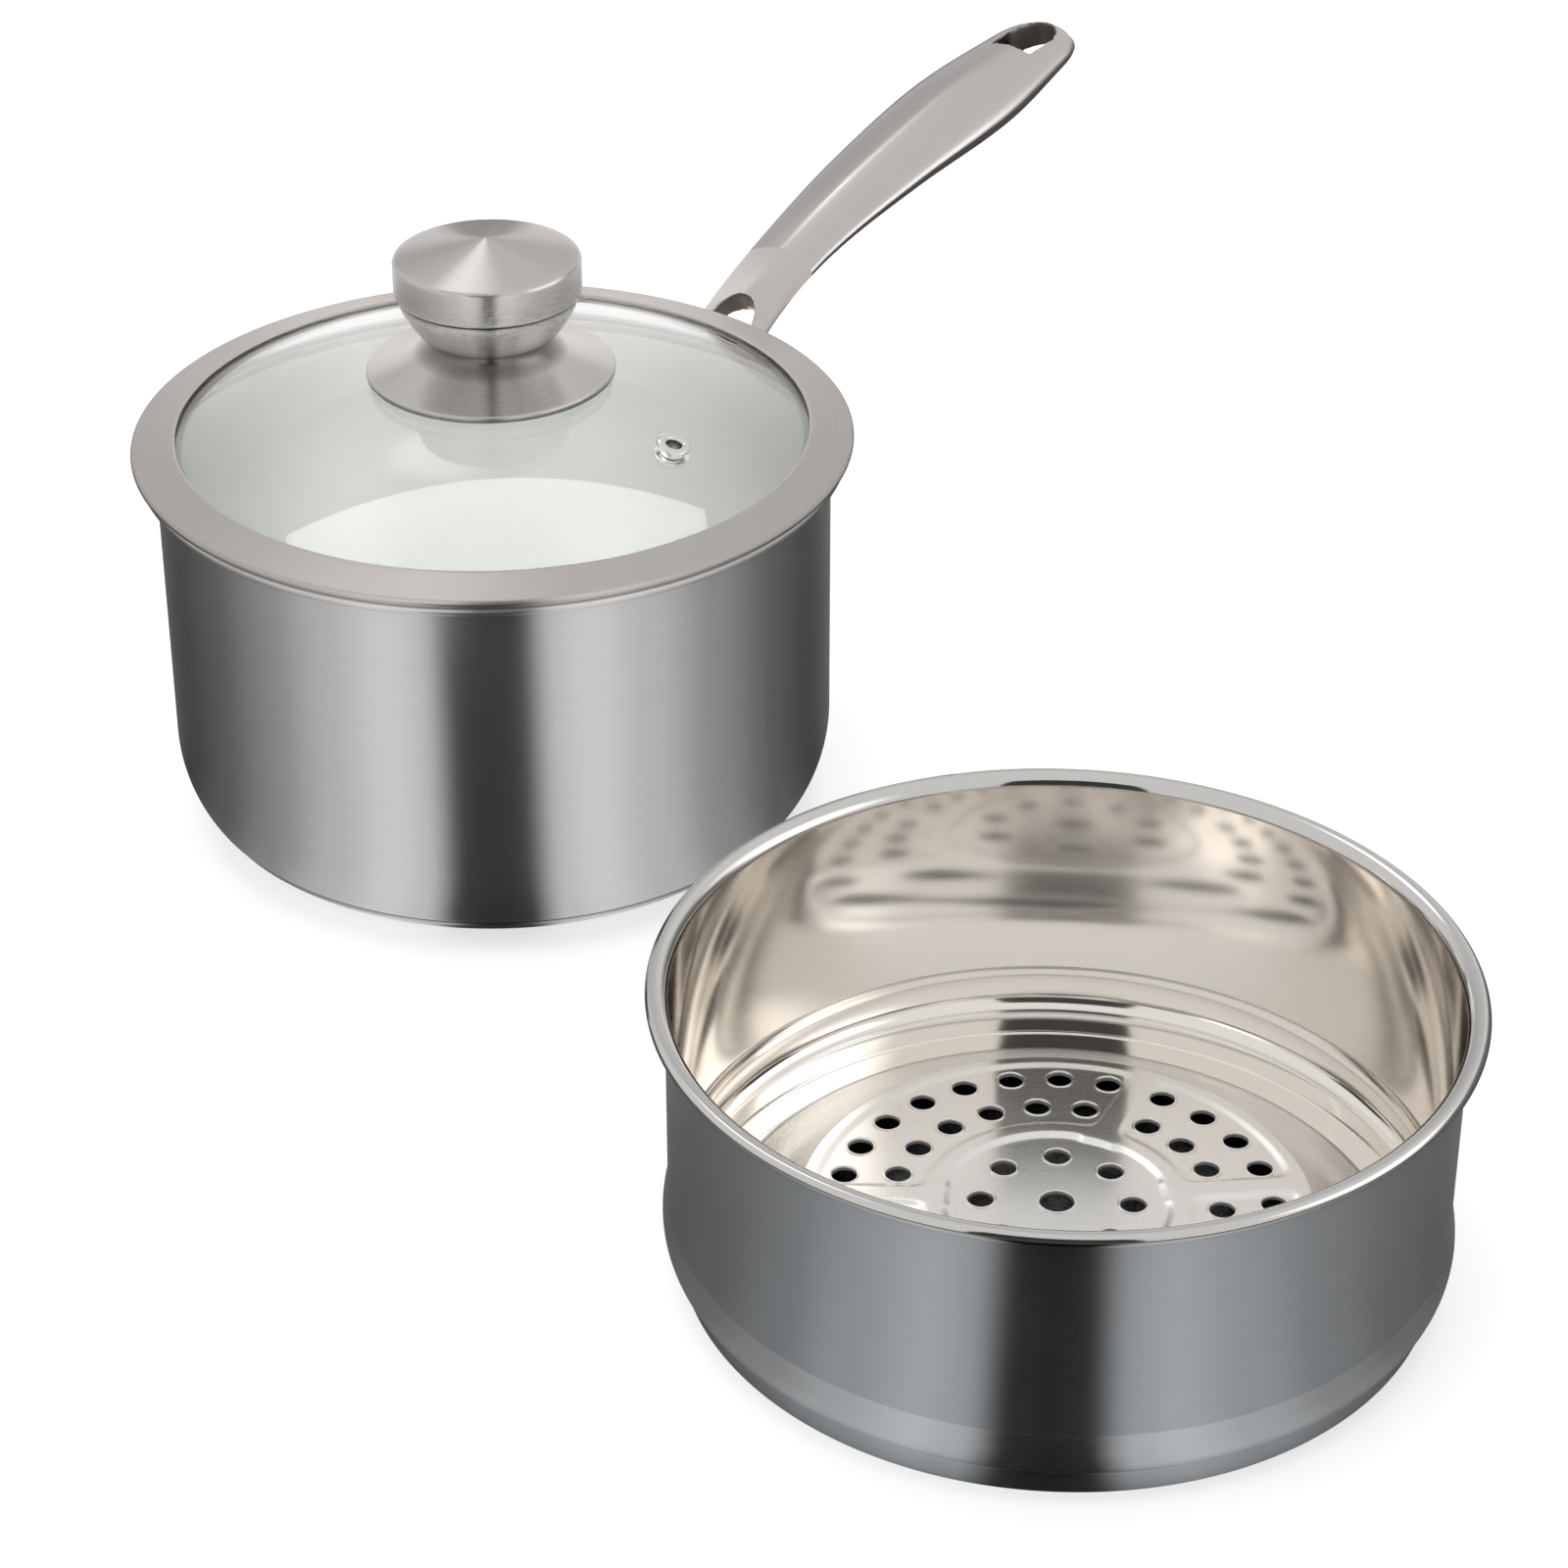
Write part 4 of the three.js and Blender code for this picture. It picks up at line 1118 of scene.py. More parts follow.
    def arch(self, length: float, half_width: float) -> Profile:
        """Outline about its middle: square across towards the pan and round towards the tip."""
        half = length / 2
        end = arc((0, 0), (half, half_width), -90, 90, self.arch_steps)
        return [(-half, -half_width), *end, (-half, half_width)]

    def build_grip(self) -> Piece:
        """Makes the handle: a ridged bar with a fork, a hollow and an eye, on its pad."""
        length = self.length()
        fork_middle = self.fork_start + self.fork_length / 2
        eye_middle = length - self.eye_end_wall - self.eye_length / 2
        hollow_start = self.fork_start + self.fork_length + self.fork_web
        fork = self.arch(self.fork_length, self.fork_half_width)
        eye = self.arch(self.eye_length, self.eye_half_width)
        grip = self.bar("handle_grip", -self.buried, length, 0)
        combine(grip, self.slot("fork", fork, fork_middle))
        combine(grip, self.bar("hollow", hollow_start, eye_middle, self.wall))
        combine(grip, self.slot("eye", eye, eye_middle))
        self.bend(grip)
        combine(grip, self.pad(), Cut.ADD)
        combine(grip, turned("wall", band(0.0, self.pad_inner, 0.0, self.pad_levels[1] * 2)))
        modify(grip, "REMESH", mode="VOXEL", voxel_size=self.voxel * MM)
        modify(grip, "SMOOTH", factor=self.smoothing_share, iterations=self.smoothing)
        self.draw_to_guide(grip)
        smooth(grip, math.radians(self.sharp_edge))
        return grip

    def draw_to_guide(self, grip: Piece) -> None:
        """Draws the remeshed outside of the handle onto the smooth bar that it was cut from."""
        guide = self.bar("guide", -self.buried, self.length(), 0)
        self.bend(guide)
        modify(guide, "SUBSURF", levels=2, render_levels=2)
        group = grip.vertex_groups.new(name="outside")
        near, far = self.guide_reach
        faces = [tuple(face.vertices) for face in guide.data.polygons]
        tree = BVHTree.FromPolygons([vertex.co for vertex in guide.data.vertices], faces)
        for vertex in grip.data.vertices:
            distance = tree.find_nearest(vertex.co)[3] / MM
            if distance < far:
                group.add([vertex.index], 1 - smoothstep(distance, near, far), "REPLACE")
        modify(grip, "SHRINKWRAP", target=guide, vertex_group=group.name)
        grip.vertex_groups.clear()
        bpy.data.objects.remove(guide)

    def face_finish(self, middle: Vector, normal: Vector) -> Side:
        """Tells the walls of the fork and the eye from the outside of the handle."""
        wide = max(self.fork_half_width, self.eye_half_width) * MM + self.voxel * MM
        across = normal.y if middle.y > 0 else -normal.y
        if abs(middle.y) < wide and across < -self.side_facing:
            return Side.INSIDE
        root, steep, level, tip = self.line_points()
        if middle.x < steep.x:
            in_fork = middle.x > root.x + self.fork_start * MM
            end_wall = in_fork and normal.dot(steep - root) < -self.fork_facing
            return Side.INSIDE if end_wall else Side.OUTSIDE
        eye_start = tip.x - (self.eye_end_wall + self.eye_length * self.eye_margin) * MM
        facing = normal.dot((tip - level).normalized())
        if middle.x < eye_start or abs(middle.y) > self.eye_half_width * MM:
            return Side.OUTSIDE
        near_edge = facing > self.eye_facing and middle.x < eye_start + self.eye_length * MM / 2
        return Side.INSIDE if facing < -self.eye_facing or near_edge else Side.OUTSIDE

    def build(self) -> None:
        """Builds the handle."""
        grip = self.build_grip()
        finish_faces(grip, [HANDLE_SATIN.material(), HANDLE_INSIDE.material()], self.face_finish)
        place_piece(grip, Body.PAN, "handle")


@dataclass
class LidDisc:
    """The steel ring and the glass dome of the lid."""

    seat_height: float = 108.0
    radius: float = 97.0
    seat_edge: float = 95.2
    skirt_radius: float = 89.2
    skirt_depth: float = 6.5
    ring_sheet: float = 0.7
    ring_rise: float = 3.0
    hem: float = 2.3
    sight_radius: float = 85.0
    channel_radius: float = 88.9
    glass_radius: float = 88.6
    ledge_height: float = 105.9
    glass_thickness: float = 4.0
    dome_radius: float = 200.0
    glass_hole: float = 4.6
    gap: float = 0.3
    sight_rise: float = 0.2
    sight_edge: float = 0.1
    sight_bend: float = 0.9
    hem_reach: float = 2.2
    brim_crown: float = 0.12
    hem_start: float = 80.0
    hem_steps: int = 16
    ring_round: float = 0.25
    glass_steps: int = 28
    glass_round: float = 0.6
    drill_reach: float = 20.0

    @staticmethod
    def sag(radius: float, sphere: float) -> float:
        """Drop of a sphere at a radius, below its top."""
        return sphere - math.sqrt(sphere * sphere - radius * radius)

    def under(self, radius: float) -> float:
        """Height of the glass's underside at a radius."""
        apex = self.ledge_height + self.gap + self.sag(self.glass_radius, self.dome_radius)
        return apex - self.sag(radius, self.dome_radius)

    def over(self, radius: float) -> float:
        """Height of the glass's top at a radius."""
        apex = self.under(0) + self.glass_thickness
        return apex - self.sag(radius, self.dome_radius + self.glass_thickness)

    def build_ring(self) -> Piece:
        """Turns the ring: a broad brim with a hemmed edge, a glass channel and a skirt."""
        top = self.seat_height + self.ring_rise
        inner = self.over(self.sight_radius) + self.gap
        hem = self.hem / 2
        skirt_inner = self.skirt_radius - self.ring_sheet
        skirt_bottom = self.seat_height - self.skirt_depth
        ledge = self.sight_radius - self.gap
        brim_inner = inner + self.ring_sheet
        profile = [
            (self.channel_radius, self.over(self.glass_radius) + self.gap),
            (self.sight_radius + self.gap, inner),
            (self.sight_radius, inner + self.sight_rise),
            (self.sight_radius + self.sight_edge, brim_inner - self.sight_edge),
            (self.sight_radius + self.sight_bend, brim_inner),
            (self.radius - hem * self.hem_reach, top + self.brim_crown),
            *arc((self.radius - hem, top - hem), (hem, hem), self.hem_start, -90, self.hem_steps),
            (self.seat_edge, top - self.hem),
            (self.seat_edge, self.seat_height),
            (self.skirt_radius + self.gap, self.seat_height),
            (self.skirt_radius, self.seat_height - self.gap),
            (self.skirt_radius, skirt_bottom),
            (skirt_inner, skirt_bottom),
            (skirt_inner, self.ledge_height - self.ring_sheet),
            (ledge, self.ledge_height - self.ring_sheet),
            (ledge, self.ledge_height),
            (self.channel_radius, self.ledge_height),
        ]
        return turned("lid_brim", softened(profile, self.ring_round))

    def build_glass(self, vent: "Vent") -> Piece:
        """Turns the glass dome and drills the vent hole."""
        steps = self.glass_steps
        radii = [lerp(self.glass_hole, self.glass_radius, i / steps) for i in range(steps + 1)]
        profile = [(r, self.under(r)) for r in radii]
        profile += [(r, self.over(r)) for r in reversed(radii)]
        # It starts in the middle of the underside, so that each of its corners is rounded.
        start = len(profile) // 4
        glass = turned("lid_dome", softened([*profile[start:], *profile[:start]], self.glass_round))
        cutter = band(0.0, vent.bore_in_glass, -self.drill_reach, self.drill_reach)
        bore = turned("bore", cutter, SMALL_STEPS)
        vent.seat(bore, self)
        combine(glass, bore)
        smooth(glass)
        return glass

    def build(self, vent: "Vent") -> None:
        """Builds the ring and the glass."""
        ring = self.build_ring()
        finish_faces(ring, [RING_SATIN.material()])
        place_piece(ring, Body.LID, "lid_ring")
        glass = self.build_glass(vent)
        finish_faces(glass, [ClearGlass().material()])
        place_piece(glass, Body.LID, "lid_glass")


@dataclass
class Vent:
    """The steam vent: an eyelet through the glass, closed over a washer."""

    radius: float = 59.1
    angle: float = -86.0
    bore: float = 2.05
    tube: float = 2.8
    bore_in_glass: float = 3.1
    flange: float = 4.75
    flange_height: float = 0.9
    closed: float = 3.85
    washer: float = 0.45
    gap: float = 0.3
    edge_round: float = 0.35
    edge_steps: int = 4

    def seat(self, piece: Piece, disc: LidDisc) -> None:
        """Sets a piece that stands on the origin square onto the glass, at the vent."""
        around = math.radians(self.angle)
        tilt = math.asin(self.radius / (disc.dome_radius + disc.glass_thickness))
        x, y = self.radius * math.cos(around), self.radius * math.sin(around)
        settle(piece, (0, tilt, around), Vector((x, y, disc.over(self.radius))) * MM)

    def build(self, disc: LidDisc) -> None:
        """Builds the eyelet and its washer."""
        edge = self.gap + self.flange_height / 2
        top = self.gap + self.flange_height
        washer_top = -disc.glass_thickness - disc.sag(self.flange, disc.dome_radius) - self.gap
        washer_bottom = washer_top - self.washer
        closed_top = washer_bottom - self.gap / 2
        closed_bottom = closed_top - self.flange_height
        eyelet = [
            (self.tube, closed_top),
            (self.tube, self.gap),
            (self.flange, self.gap),
            (self.flange, edge),
            (self.flange - self.flange_height, top),
            (self.tube, top),
            (self.bore, edge),
            (self.bore, closed_bottom),
            (self.closed, closed_bottom),
            (self.closed, closed_top),
        ]
        washer = band(self.bore_in_glass, self.flange, washer_bottom, washer_top)
        polish = SMALL_POLISHED.material()
        for name, profile, node in (
            ("vent_collar", eyelet, "vent_eyelet"),
            ("vent_backing", washer, "vent_washer"),
        ):
            soft = softened(profile, self.edge_round, steps=self.edge_steps)
            piece = turned(name, soft, SMALL_STEPS)
            self.seat(piece, disc)
            finish_faces(piece, [polish])
            place_piece(piece, Body.LID, node)


@dataclass
class Knob:
    """The knob in three turned parts, and the screw, washers and gaskets that hold it."""

    sheet: float = 0.9
    base_radius: float = 33.2
    base_edge: float = 2.0
    base_height: float = 11.3
    flare: float = 0.42
    neck_radius: float = 15.8
    foot_radius: float = 18.2
    cup_radius: float = 24.1
    cup_height: float = 11.8
    cup_wall: float = 1.8
    bowl: float = 0.72
    collar_inset: float = 1.35
    collar_height: float = 2.0
    cap_step: float = 0.9
    band_height: float = 10.2
    cone_height: float = 5.2
    edge_round: float = 1.4
    gasket_width: float = 4.4
    gasket_recess: float = 1.0
    gasket_gap: float = 0.2
    screw_radius: float = 2.4
    screw_clearance: float = 0.3
    screw_head: Point = (5.0, 2.8)
    slot_size: Point = (1.2, 1.3)
    screw_reach: float = 8.5
    lower_gasket: Point = (10.0, 1.3)
    washer: Point = (9.0, 0.8)
    flare_steps: int = 28
    bowl_steps: int = 24
    foot_bevel: Point = (0.8, 0.6)
    seam_bevel: Point = (0.35, 0.3)
    bowl_lift: float = 0.5
    cap_clearance: float = 0.3
    lip_inset: float = 0.1
    lip_bends: tuple[Point, ...] = ((0.8, 0.6), (1.0, 1.6))
    edge_turn: float = 72.0
    cone_steps: int = 12
    apex_flat: Point = (0.6, 0.12)
    head_edge: float = 0.4
    head_start: float = -88.0
    head_steps: int = 12
    tip_bevel: float = 0.6
    sheet_round: float = 0.3
    fitting_round: float = 0.2

    def levels(self, disc: LidDisc) -> dict[str, float]:
        """Heights that the parts of the knob share."""
        bottom = disc.over(self.base_radius - self.sheet) + self.gasket_gap
        seat = bottom + self.base_height
        seam = seat + self.cup_height
        gasket_top = disc.under(self.lower_gasket[0]) - self.gasket_gap
        washer_top = gasket_top - self.lower_gasket[1]
        return {
            "bottom": bottom,
            "seat": seat,
            "seam": seam,
            "shoulder": seam + self.band_height,
            "gasket_top": gasket_top,
            "washer_top": washer_top,
            "head_top": washer_top - self.washer[1],
        }

    def base_profile(self, at: dict[str, float]) -> Profile:
        """Flared skirt that stands on the glass."""
        half = self.sheet / 2
        edge_top = at["bottom"] + self.base_edge
        web = at["seat"] - 2 * self.sheet
        gasket = self.base_radius - self.sheet
        recess = gasket - self.gasket_width - self.sheet
        bore = self.screw_radius + self.screw_clearance
        outer = bezier(
            [
                (self.base_radius - half, edge_top),
                (self.neck_radius, lerp(edge_top, at["seat"], self.flare)),
                (self.neck_radius, at["seat"]),
            ],
            self.flare_steps,
        )
        hollow = [(x - self.sheet, z - self.sheet) for x, z in outer]
        hollow = [(x, z) for x, z in hollow if x < recess and z < web]
        return [
            (gasket, at["bottom"] + self.gasket_recess),
            (gasket, at["bottom"]),
            (self.base_radius, at["bottom"] + half),
            (self.base_radius, edge_top - half),
            *outer,
            (bore, at["seat"]),
            (bore, web),
            (self.neck_radius - self.sheet, web),
            *reversed(hollow),
            (recess, at["bottom"] + self.gasket_recess),
        ]

    def cup_profile(self, at: dict[str, float]) -> Profile:
        """Lower half of the knob: a bowl with a collar that the cap sits over."""
        bore = self.screw_radius + self.screw_clearance
        inside_bottom = at["seat"] + self.sheet
        collar = self.cup_radius - self.collar_inset
        outer = bezier(
            [
                (self.foot_radius, at["seat"] + self.foot_bevel[1]),
                (self.cup_radius, lerp(at["seat"], at["seam"], self.bowl)),
                (self.cup_radius, at["seam"] - self.seam_bevel[1]),
            ],
            self.bowl_steps,
        )
        inside = [(x - self.cup_wall, z) for x, z in outer if z > inside_bottom + self.bowl_lift]
        return [
            (bore, inside_bottom),
            (bore, at["seat"]),
            (self.foot_radius - self.foot_bevel[0], at["seat"]),
            *outer,
            (self.cup_radius - self.seam_bevel[0], at["seam"]),
            (collar, at["seam"]),
            (collar, at["seam"] + self.collar_height),
            (collar - self.sheet, at["seam"] + self.collar_height),
            *reversed(inside),
            (self.foot_radius - self.sheet, inside_bottom),
        ]

    def cap_profile(self, at: dict[str, float]) -> Profile:
        """Upper half of the knob: a side band and a low cone."""
        skirt = self.cup_radius - self.collar_inset + self.cap_clearance
        apex = at["shoulder"] + self.cone_height
        step = self.cap_step
        edge = (self.cup_radius + step - self.edge_round, at["shoulder"] - self.edge_round)
        cone_start = arc(edge, (self.edge_round, self.edge_round), 0, self.edge_turn)
        slope_x, slope_z = cone_start[-1]
        flat, drop = self.apex_flat
        shares = [i / self.cone_steps for i in range(1, self.cone_steps + 1)]
        return [
            (0.0, apex - self.sheet),
            (skirt, at["shoulder"] - self.sheet),
            (skirt, at["seam"]),
            (self.cup_radius - self.lip_inset, at["seam"]),
            *((self.cup_radius + step * x, at["seam"] + step * z) for x, z in self.lip_bends),
            *cone_start,
            *((lerp(slope_x, flat, share), lerp(slope_z, apex - drop, share)) for share in shares),
            (0.0, apex),
        ]

    def screw_profile(self, at: dict[str, float]) -> Profile:
        """Screw with a domed head below the glass."""
        radius, height = self.screw_head
        edge = at["head_top"] - self.head_edge
        tip = at["seat"] + self.sheet + self.screw_reach - self.screw_clearance
        return [
            (0.0, at["head_top"] - height),
            *arc((0, edge), (radius, height - self.head_edge), self.head_start, 0, self.head_steps),
            (radius, at["head_top"]),
            (self.screw_radius, at["head_top"]),
            (self.screw_radius, tip - self.tip_bevel),
            (self.screw_radius - self.tip_bevel, tip),
            (0.0, tip),
        ]

    def ring_profile(self, size: Point, top: float) -> Profile:
        """Flat washer of a radius and a thickness below a height."""
        bore = self.screw_radius + self.screw_clearance
        radius, thickness = size
        return band(bore, radius, top - thickness, top)

    def build_screw(self, at: dict[str, float]) -> Piece:
        """Turns the screw and cuts the slot of its head."""
        screw = turned("knob_bolt", softened(self.screw_profile(at), self.fitting_round), SMALL_STEPS)
        width, depth = self.slot_size
        bottom = at["head_top"] - self.screw_head[1]
        reach = self.screw_head[0] * 2
        outline = band(-reach, reach, -width / 2, width / 2)
        corners = [Vector((x, y, bottom - depth)) * MM for x, y in outline]
        combine(screw, prism("slot", corners, Vector((0, 0, 2 * depth)) * MM))
        smooth(screw)
        return screw

    def build(self, disc: LidDisc) -> None:
        """Builds the parts of the knob from the glass upwards, then its screw from below."""
        at = self.levels(disc)
        satin = KNOB_SATIN.material()
        polish = SMALL_POLISHED.material()
        rubber = SILICONE_RUBBER.material()
        gasket = self.ring_profile(self.lower_gasket, at["gasket_top"])
        washer = self.ring_profile(self.washer, at["washer_top"])
        for name, profile, corner, look, slot, node in (
            ("knob_flare", self.base_profile(at), self.sheet_round, satin, Slot.SATIN, "knob_base"),
            ("knob_bowl", self.cup_profile(at), self.sheet_round, satin, Slot.SATIN, "knob_cup"),
            ("knob_crown", self.cap_profile(at), self.sheet_round, satin, Slot.SATIN, "knob_cap"),
            ("lower_seal", gasket, self.sheet_round, rubber, Slot.SILICONE, "lower_gasket"),
            ("bolt_washer", washer, self.fitting_round, polish, Slot.POLISHED, "screw_washer"),
        ):
            piece = turned(name, softened(profile, corner), KNOB_STEPS)
            finish_faces(piece, [look])
            place_piece(piece, Body.LID, node)
        screw = self.build_screw(at)
        finish_faces(screw, [polish])
        place_piece(screw, Body.LID, "knob_screw")
        dress_solid("knob_insert", ALUMINIUM.material())
        dress_solid("upper_gasket", rubber)


@dataclass
class SteamerInsert:
    """The deep steamer insert: rolled rim, seating bead, skirt and pressed, perforated plate."""

    centre: Point = STEAMER_CENTRE
    height: float = 75.6
    sheet: float = 0.8
    skirt_radius: float = 89.3
    skirt_height: float = 6.8
    wall_radius: float = 91.9
    bead_radius: float = 93.4
    bead_height: float = 12.4
    bead_crest: float = 0.55
    rim_radius: float = 96.4
    rim_roll: float = 1.5
    flare_drop: float = 3.0
    foot_round: float = 1.6
    foot_width: float = 7.4
    plate_radius: float = 61.0
    plate_rise: float = 11.0
    plate_crown: float = 1.3
    web_ring: Point = (27.0, 32.0)
    web_outer: float = 57.6
    web_half_width: float = 3.2
    web_rise: float = 0.55
    web_slope: float = 0.7
    web_blend: float = 1.2
    web_margin: float = 0.5
    web_ceiling: float = 1.1
    centre_hole: float = 4.1
    hole_radius: float = 3.1
    drill_reach: float = 6.0
    lip_tube: float = 0.38
    lip_sides: int = 8
    lip_spread: float = 0.8
    lip_sink: float = 0.05
    ring_radius: float = 18.0
    ring_count: int = 8
    ring_angle: float = 34.0
    outer_row: float = 51.5
    inner_row: float = 39.0
    inner_pitch: float = 17.2
    spoke_gap: float = 16.0
    inner_spoke_gap: float = 24.0
    first_spoke: float = 12.0
    sector_counts: tuple[int, ...] = (8, 6, 8, 4)
    round_steps: int = 360
    plate_rings: int = 62
    edge_round: float = 0.8
    curve_steps: int = 20
    foot_steps: tuple[int, int] = (10, 8)
    foot_open: Point = (-80.0, -10.0)
    roll_start: float = -150.0
    flare_start: float = 100.0
    neck_bends: tuple[Point, ...] = ((0.0, 2.4), (0.5, 0.7))
    rim_margin: float = 0.6
    bead_margins: Point = (0.5, 0.4)
    inward_limit: float = 0.05
    upward_limit: float = -0.3
    under_limit: float = -0.2

    def outer_pitch(self) -> float:
        """Angle between neighbours in the outer row of holes."""
        sectors = len(self.sector_counts)
        return (360 - self.spoke_gap * sectors) / (sum(self.sector_counts) - sectors)

    def spokes(self) -> list[float]:
        """Angles of the plain spokes between the sectors of holes."""
        angles = [self.first_spoke]
        for count in self.sector_counts[:-1]:
            angles.append(angles[-1] + (count - 1) * self.outer_pitch() + self.spoke_gap)
        return angles

    def holes(self) -> list[tuple[float, float, float]]:
        """Places of the steam holes.

        Returns:
            The radius of the row, the angle in degrees and the hole's own radius, for each hole.
        """
        found = [(0.0, 0.0, self.centre_hole)]
        for i in range(self.ring_count):
            found.append((self.ring_radius, self.ring_angle + 360 * i / self.ring_count, self.hole_radius))
        for spoke, count in zip(self.spokes(), self.sector_counts):
            outer_span = (count - 1) * self.outer_pitch()
            inner_span = outer_span + self.spoke_gap - self.inner_spoke_gap
            inner_steps = round(inner_span / self.inner_pitch)
            for i in range(count):
                angle = spoke + self.spoke_gap / 2 + self.outer_pitch() * i
                found.append((self.outer_row, angle, self.hole_radius))
            for i in range(inner_steps + 1):
                angle = spoke + self.inner_spoke_gap / 2 + inner_span * i / inner_steps
                found.append((self.inner_row, angle, self.hole_radius))
        return found

    def plate_top(self, radius: float) -> float:
        """Height of the plate's top at a radius, before it is pressed."""
        share = radius / self.plate_radius
        return self.plate_rise + self.sheet + self.plate_crown * (1 - share * share)

    def profile(self) -> Profile:
        """Profile of the insert, from the middle of the plate's underside round to its top."""
        sheet, roll, round_ = self.sheet, self.rim_roll, self.foot_round
        foot_outer = self.skirt_radius - round_
        foot_inner = foot_outer - self.foot_width
        rim = (self.rim_radius - roll, self.height - roll)
        flare = (rim[0] - self.wall_radius + sheet, self.flare_drop)
        crest = self.skirt_height + self.bead_height * self.bead_crest
        bead = bezier(
            [
                (self.skirt_radius - sheet / 2, self.skirt_height),
                (self.bead_radius + sheet, self.skirt_height + sheet),
                (self.bead_radius + sheet / 2, crest + 2 * sheet),
                (self.wall_radius, self.skirt_height + self.bead_height),
            ],
            self.curve_steps,
        )
        bead_inside = [(x - sheet, z + sheet / 3) for x, z in reversed(bead)]
        radii = [self.plate_radius * i / self.plate_rings for i in range(1, self.plate_rings + 1)]
        inner = round_ - sheet
        return [
            (0.0, self.plate_top(0) - sheet),
            *((r, self.plate_top(r) - sheet) for r in radii),
            (foot_inner, 0.0),
            (foot_outer, 0.0),
            *arc((foot_outer, round_), (round_, round_), self.foot_open[0], 0, self.foot_steps[0]),
            (self.skirt_radius, self.skirt_height - sheet),
            *bead,
            *((self.wall_radius + x, rim[1] - roll - z) for x, z in self.neck_bends),
            *arc(rim, (roll, roll), self.roll_start, 90, self.curve_steps),
            *arc((rim[0], self.height - self.flare_drop), flare, self.flare_start, 180),
            *bead_inside,
            (self.skirt_radius - sheet, round_),
            *arc((foot_outer, round_), (inner, inner), self.foot_open[1], -90, self.foot_steps[1]),
            (foot_inner + sheet / 2, sheet),
            *((r, self.plate_top(r)) for r in reversed(radii)),
            (0.0, self.plate_top(0)),
        ]

    def pressed_share(self, x: float, y: float) -> float:
        """How far the pressed web stands at a place on the plate, from 0 to 1.

        Args:
            x: Place across, from the middle of the plate.
            y: Place along, from the middle of the plate.

        Returns:
            1 on the ring, the spokes and the border, and 0 in the panels between them.
        """
        radius = math.hypot(x, y)
        low, high = self.web_ring
        inside = [min(radius - low, high - radius), radius - self.web_outer]
        for angle in self.spokes():
            turn = math.radians(angle)
            along = x * math.cos(turn) + y * math.sin(turn)
            across = abs(y * math.cos(turn) - x * math.sin(turn))
            if along > 0:
                inside.append(min(self.web_half_width - across, radius - low))
        sharp = sum(math.exp(depth / self.web_blend) for depth in inside)
        depth = self.web_blend * math.log(sharp)
        return smoothstep(depth, -self.web_slope, self.web_slope)

    def press(self, body: Piece) -> None:
        """Presses the web of ring, spokes and border up out of the plate."""
        group = body.vertex_groups.new(name="web")
        limit = (self.plate_radius + self.web_margin) * MM
        ceiling = self.plate_top(0) * MM * self.web_ceiling
        for vertex in body.data.vertices:
            x = vertex.co.x - self.centre[0] * MM
            y = vertex.co.y - self.centre[1] * MM
            if math.hypot(x, y) < limit and vertex.co.z < ceiling:
                group.add([vertex.index], self.pressed_share(x / MM, y / MM), "REPLACE")
        push = {"direction": "Z", "strength": self.web_rise * MM, "mid_level": 0.0}
        modify(body, "DISPLACE", vertex_group=group.name, **push)
        body.vertex_groups.clear()

    def hole_place(self, row: float, angle: float) -> Vector:
        """Middle of a hole at the plate's top, in metres."""
        turn = math.radians(angle)
        x = self.centre[0] + row * math.cos(turn)
        y = self.centre[1] + row * math.sin(turn)
        return Vector((x, y, self.plate_top(row))) * MM

    def scatter(self, make: Callable[[float], Piece]) -> Piece:
        """Sets a copy of a piece at every hole and joins the copies.

        Args:
            make: Makes the piece about the origin for a hole's radius.

        Returns:
            The joined copies.
        """
        masters = {size: make(size) for size in (self.centre_hole, self.hole_radius)}
        copies = []
        for row, angle, size in self.holes():
            twin = copy_of(masters[size])
            settle(twin, (0, 0, 0), self.hole_place(row, angle))
            copies.append(twin)
        for master in masters.values():
            bpy.data.objects.remove(master)
        return joined(copies)

    def drill(self, radius: float) -> Piece:
        """Makes one drill about the origin."""
        return turned("drill", band(0.0, radius, -self.drill_reach, self.drill_reach), HOLE_STEPS)

    def hole_lip(self, radius: float) -> Piece:
        """Makes the raised lip of one hole about the origin."""
        tube = self.lip_tube
        middle = (radius + tube * self.lip_spread, -self.lip_sink)
        last = 360 - 360 / self.lip_sides
        return turned("lip", arc(middle, (tube, tube), 0, last, self.lip_sides - 1), HOLE_STEPS)

    def build(self) -> None:
        """Turns, presses and drills the insert, and gives its sides their finishes."""
        soft = softened(self.profile(), self.edge_round)
        body = turned("steamer_insert", soft, self.round_steps, self.centre)
        self.press(body)
        combine(body, self.scatter(self.drill))
        body = joined([body, self.scatter(self.hole_lip)])
        smooth(body)
        rim_start = (self.height - self.flare_drop - self.rim_margin) * MM
        bead_start = (self.skirt_height + self.bead_margins[0]) * MM
        bead_end = (self.skirt_height + self.bead_height - self.bead_margins[1]) * MM
        plate_limit = (self.skirt_radius - self.foot_round - self.foot_width) * MM

        def side(middle: Vector, normal: Vector) -> Side:
            """Tells the rim, the bead, the plate and the two sides of the wall apart."""
            across = Vector((middle.x - self.centre[0] * MM, middle.y - self.centre[1] * MM))
            outward = across.normalized().dot(Vector((normal.x, normal.y)))
            if middle.z > rim_start:
                return Side.RIM
            if across.length < plate_limit:
                return Side.OUTSIDE if normal.z < self.under_limit else Side.PLATE
            if outward < self.inward_limit and normal.z > self.upward_limit:
                return Side.INSIDE
            # The outside of the bead takes the lighter steel, which paints a highlight along it.
            return Side.BEAD if bead_start < middle.z < bead_end else Side.OUTSIDE

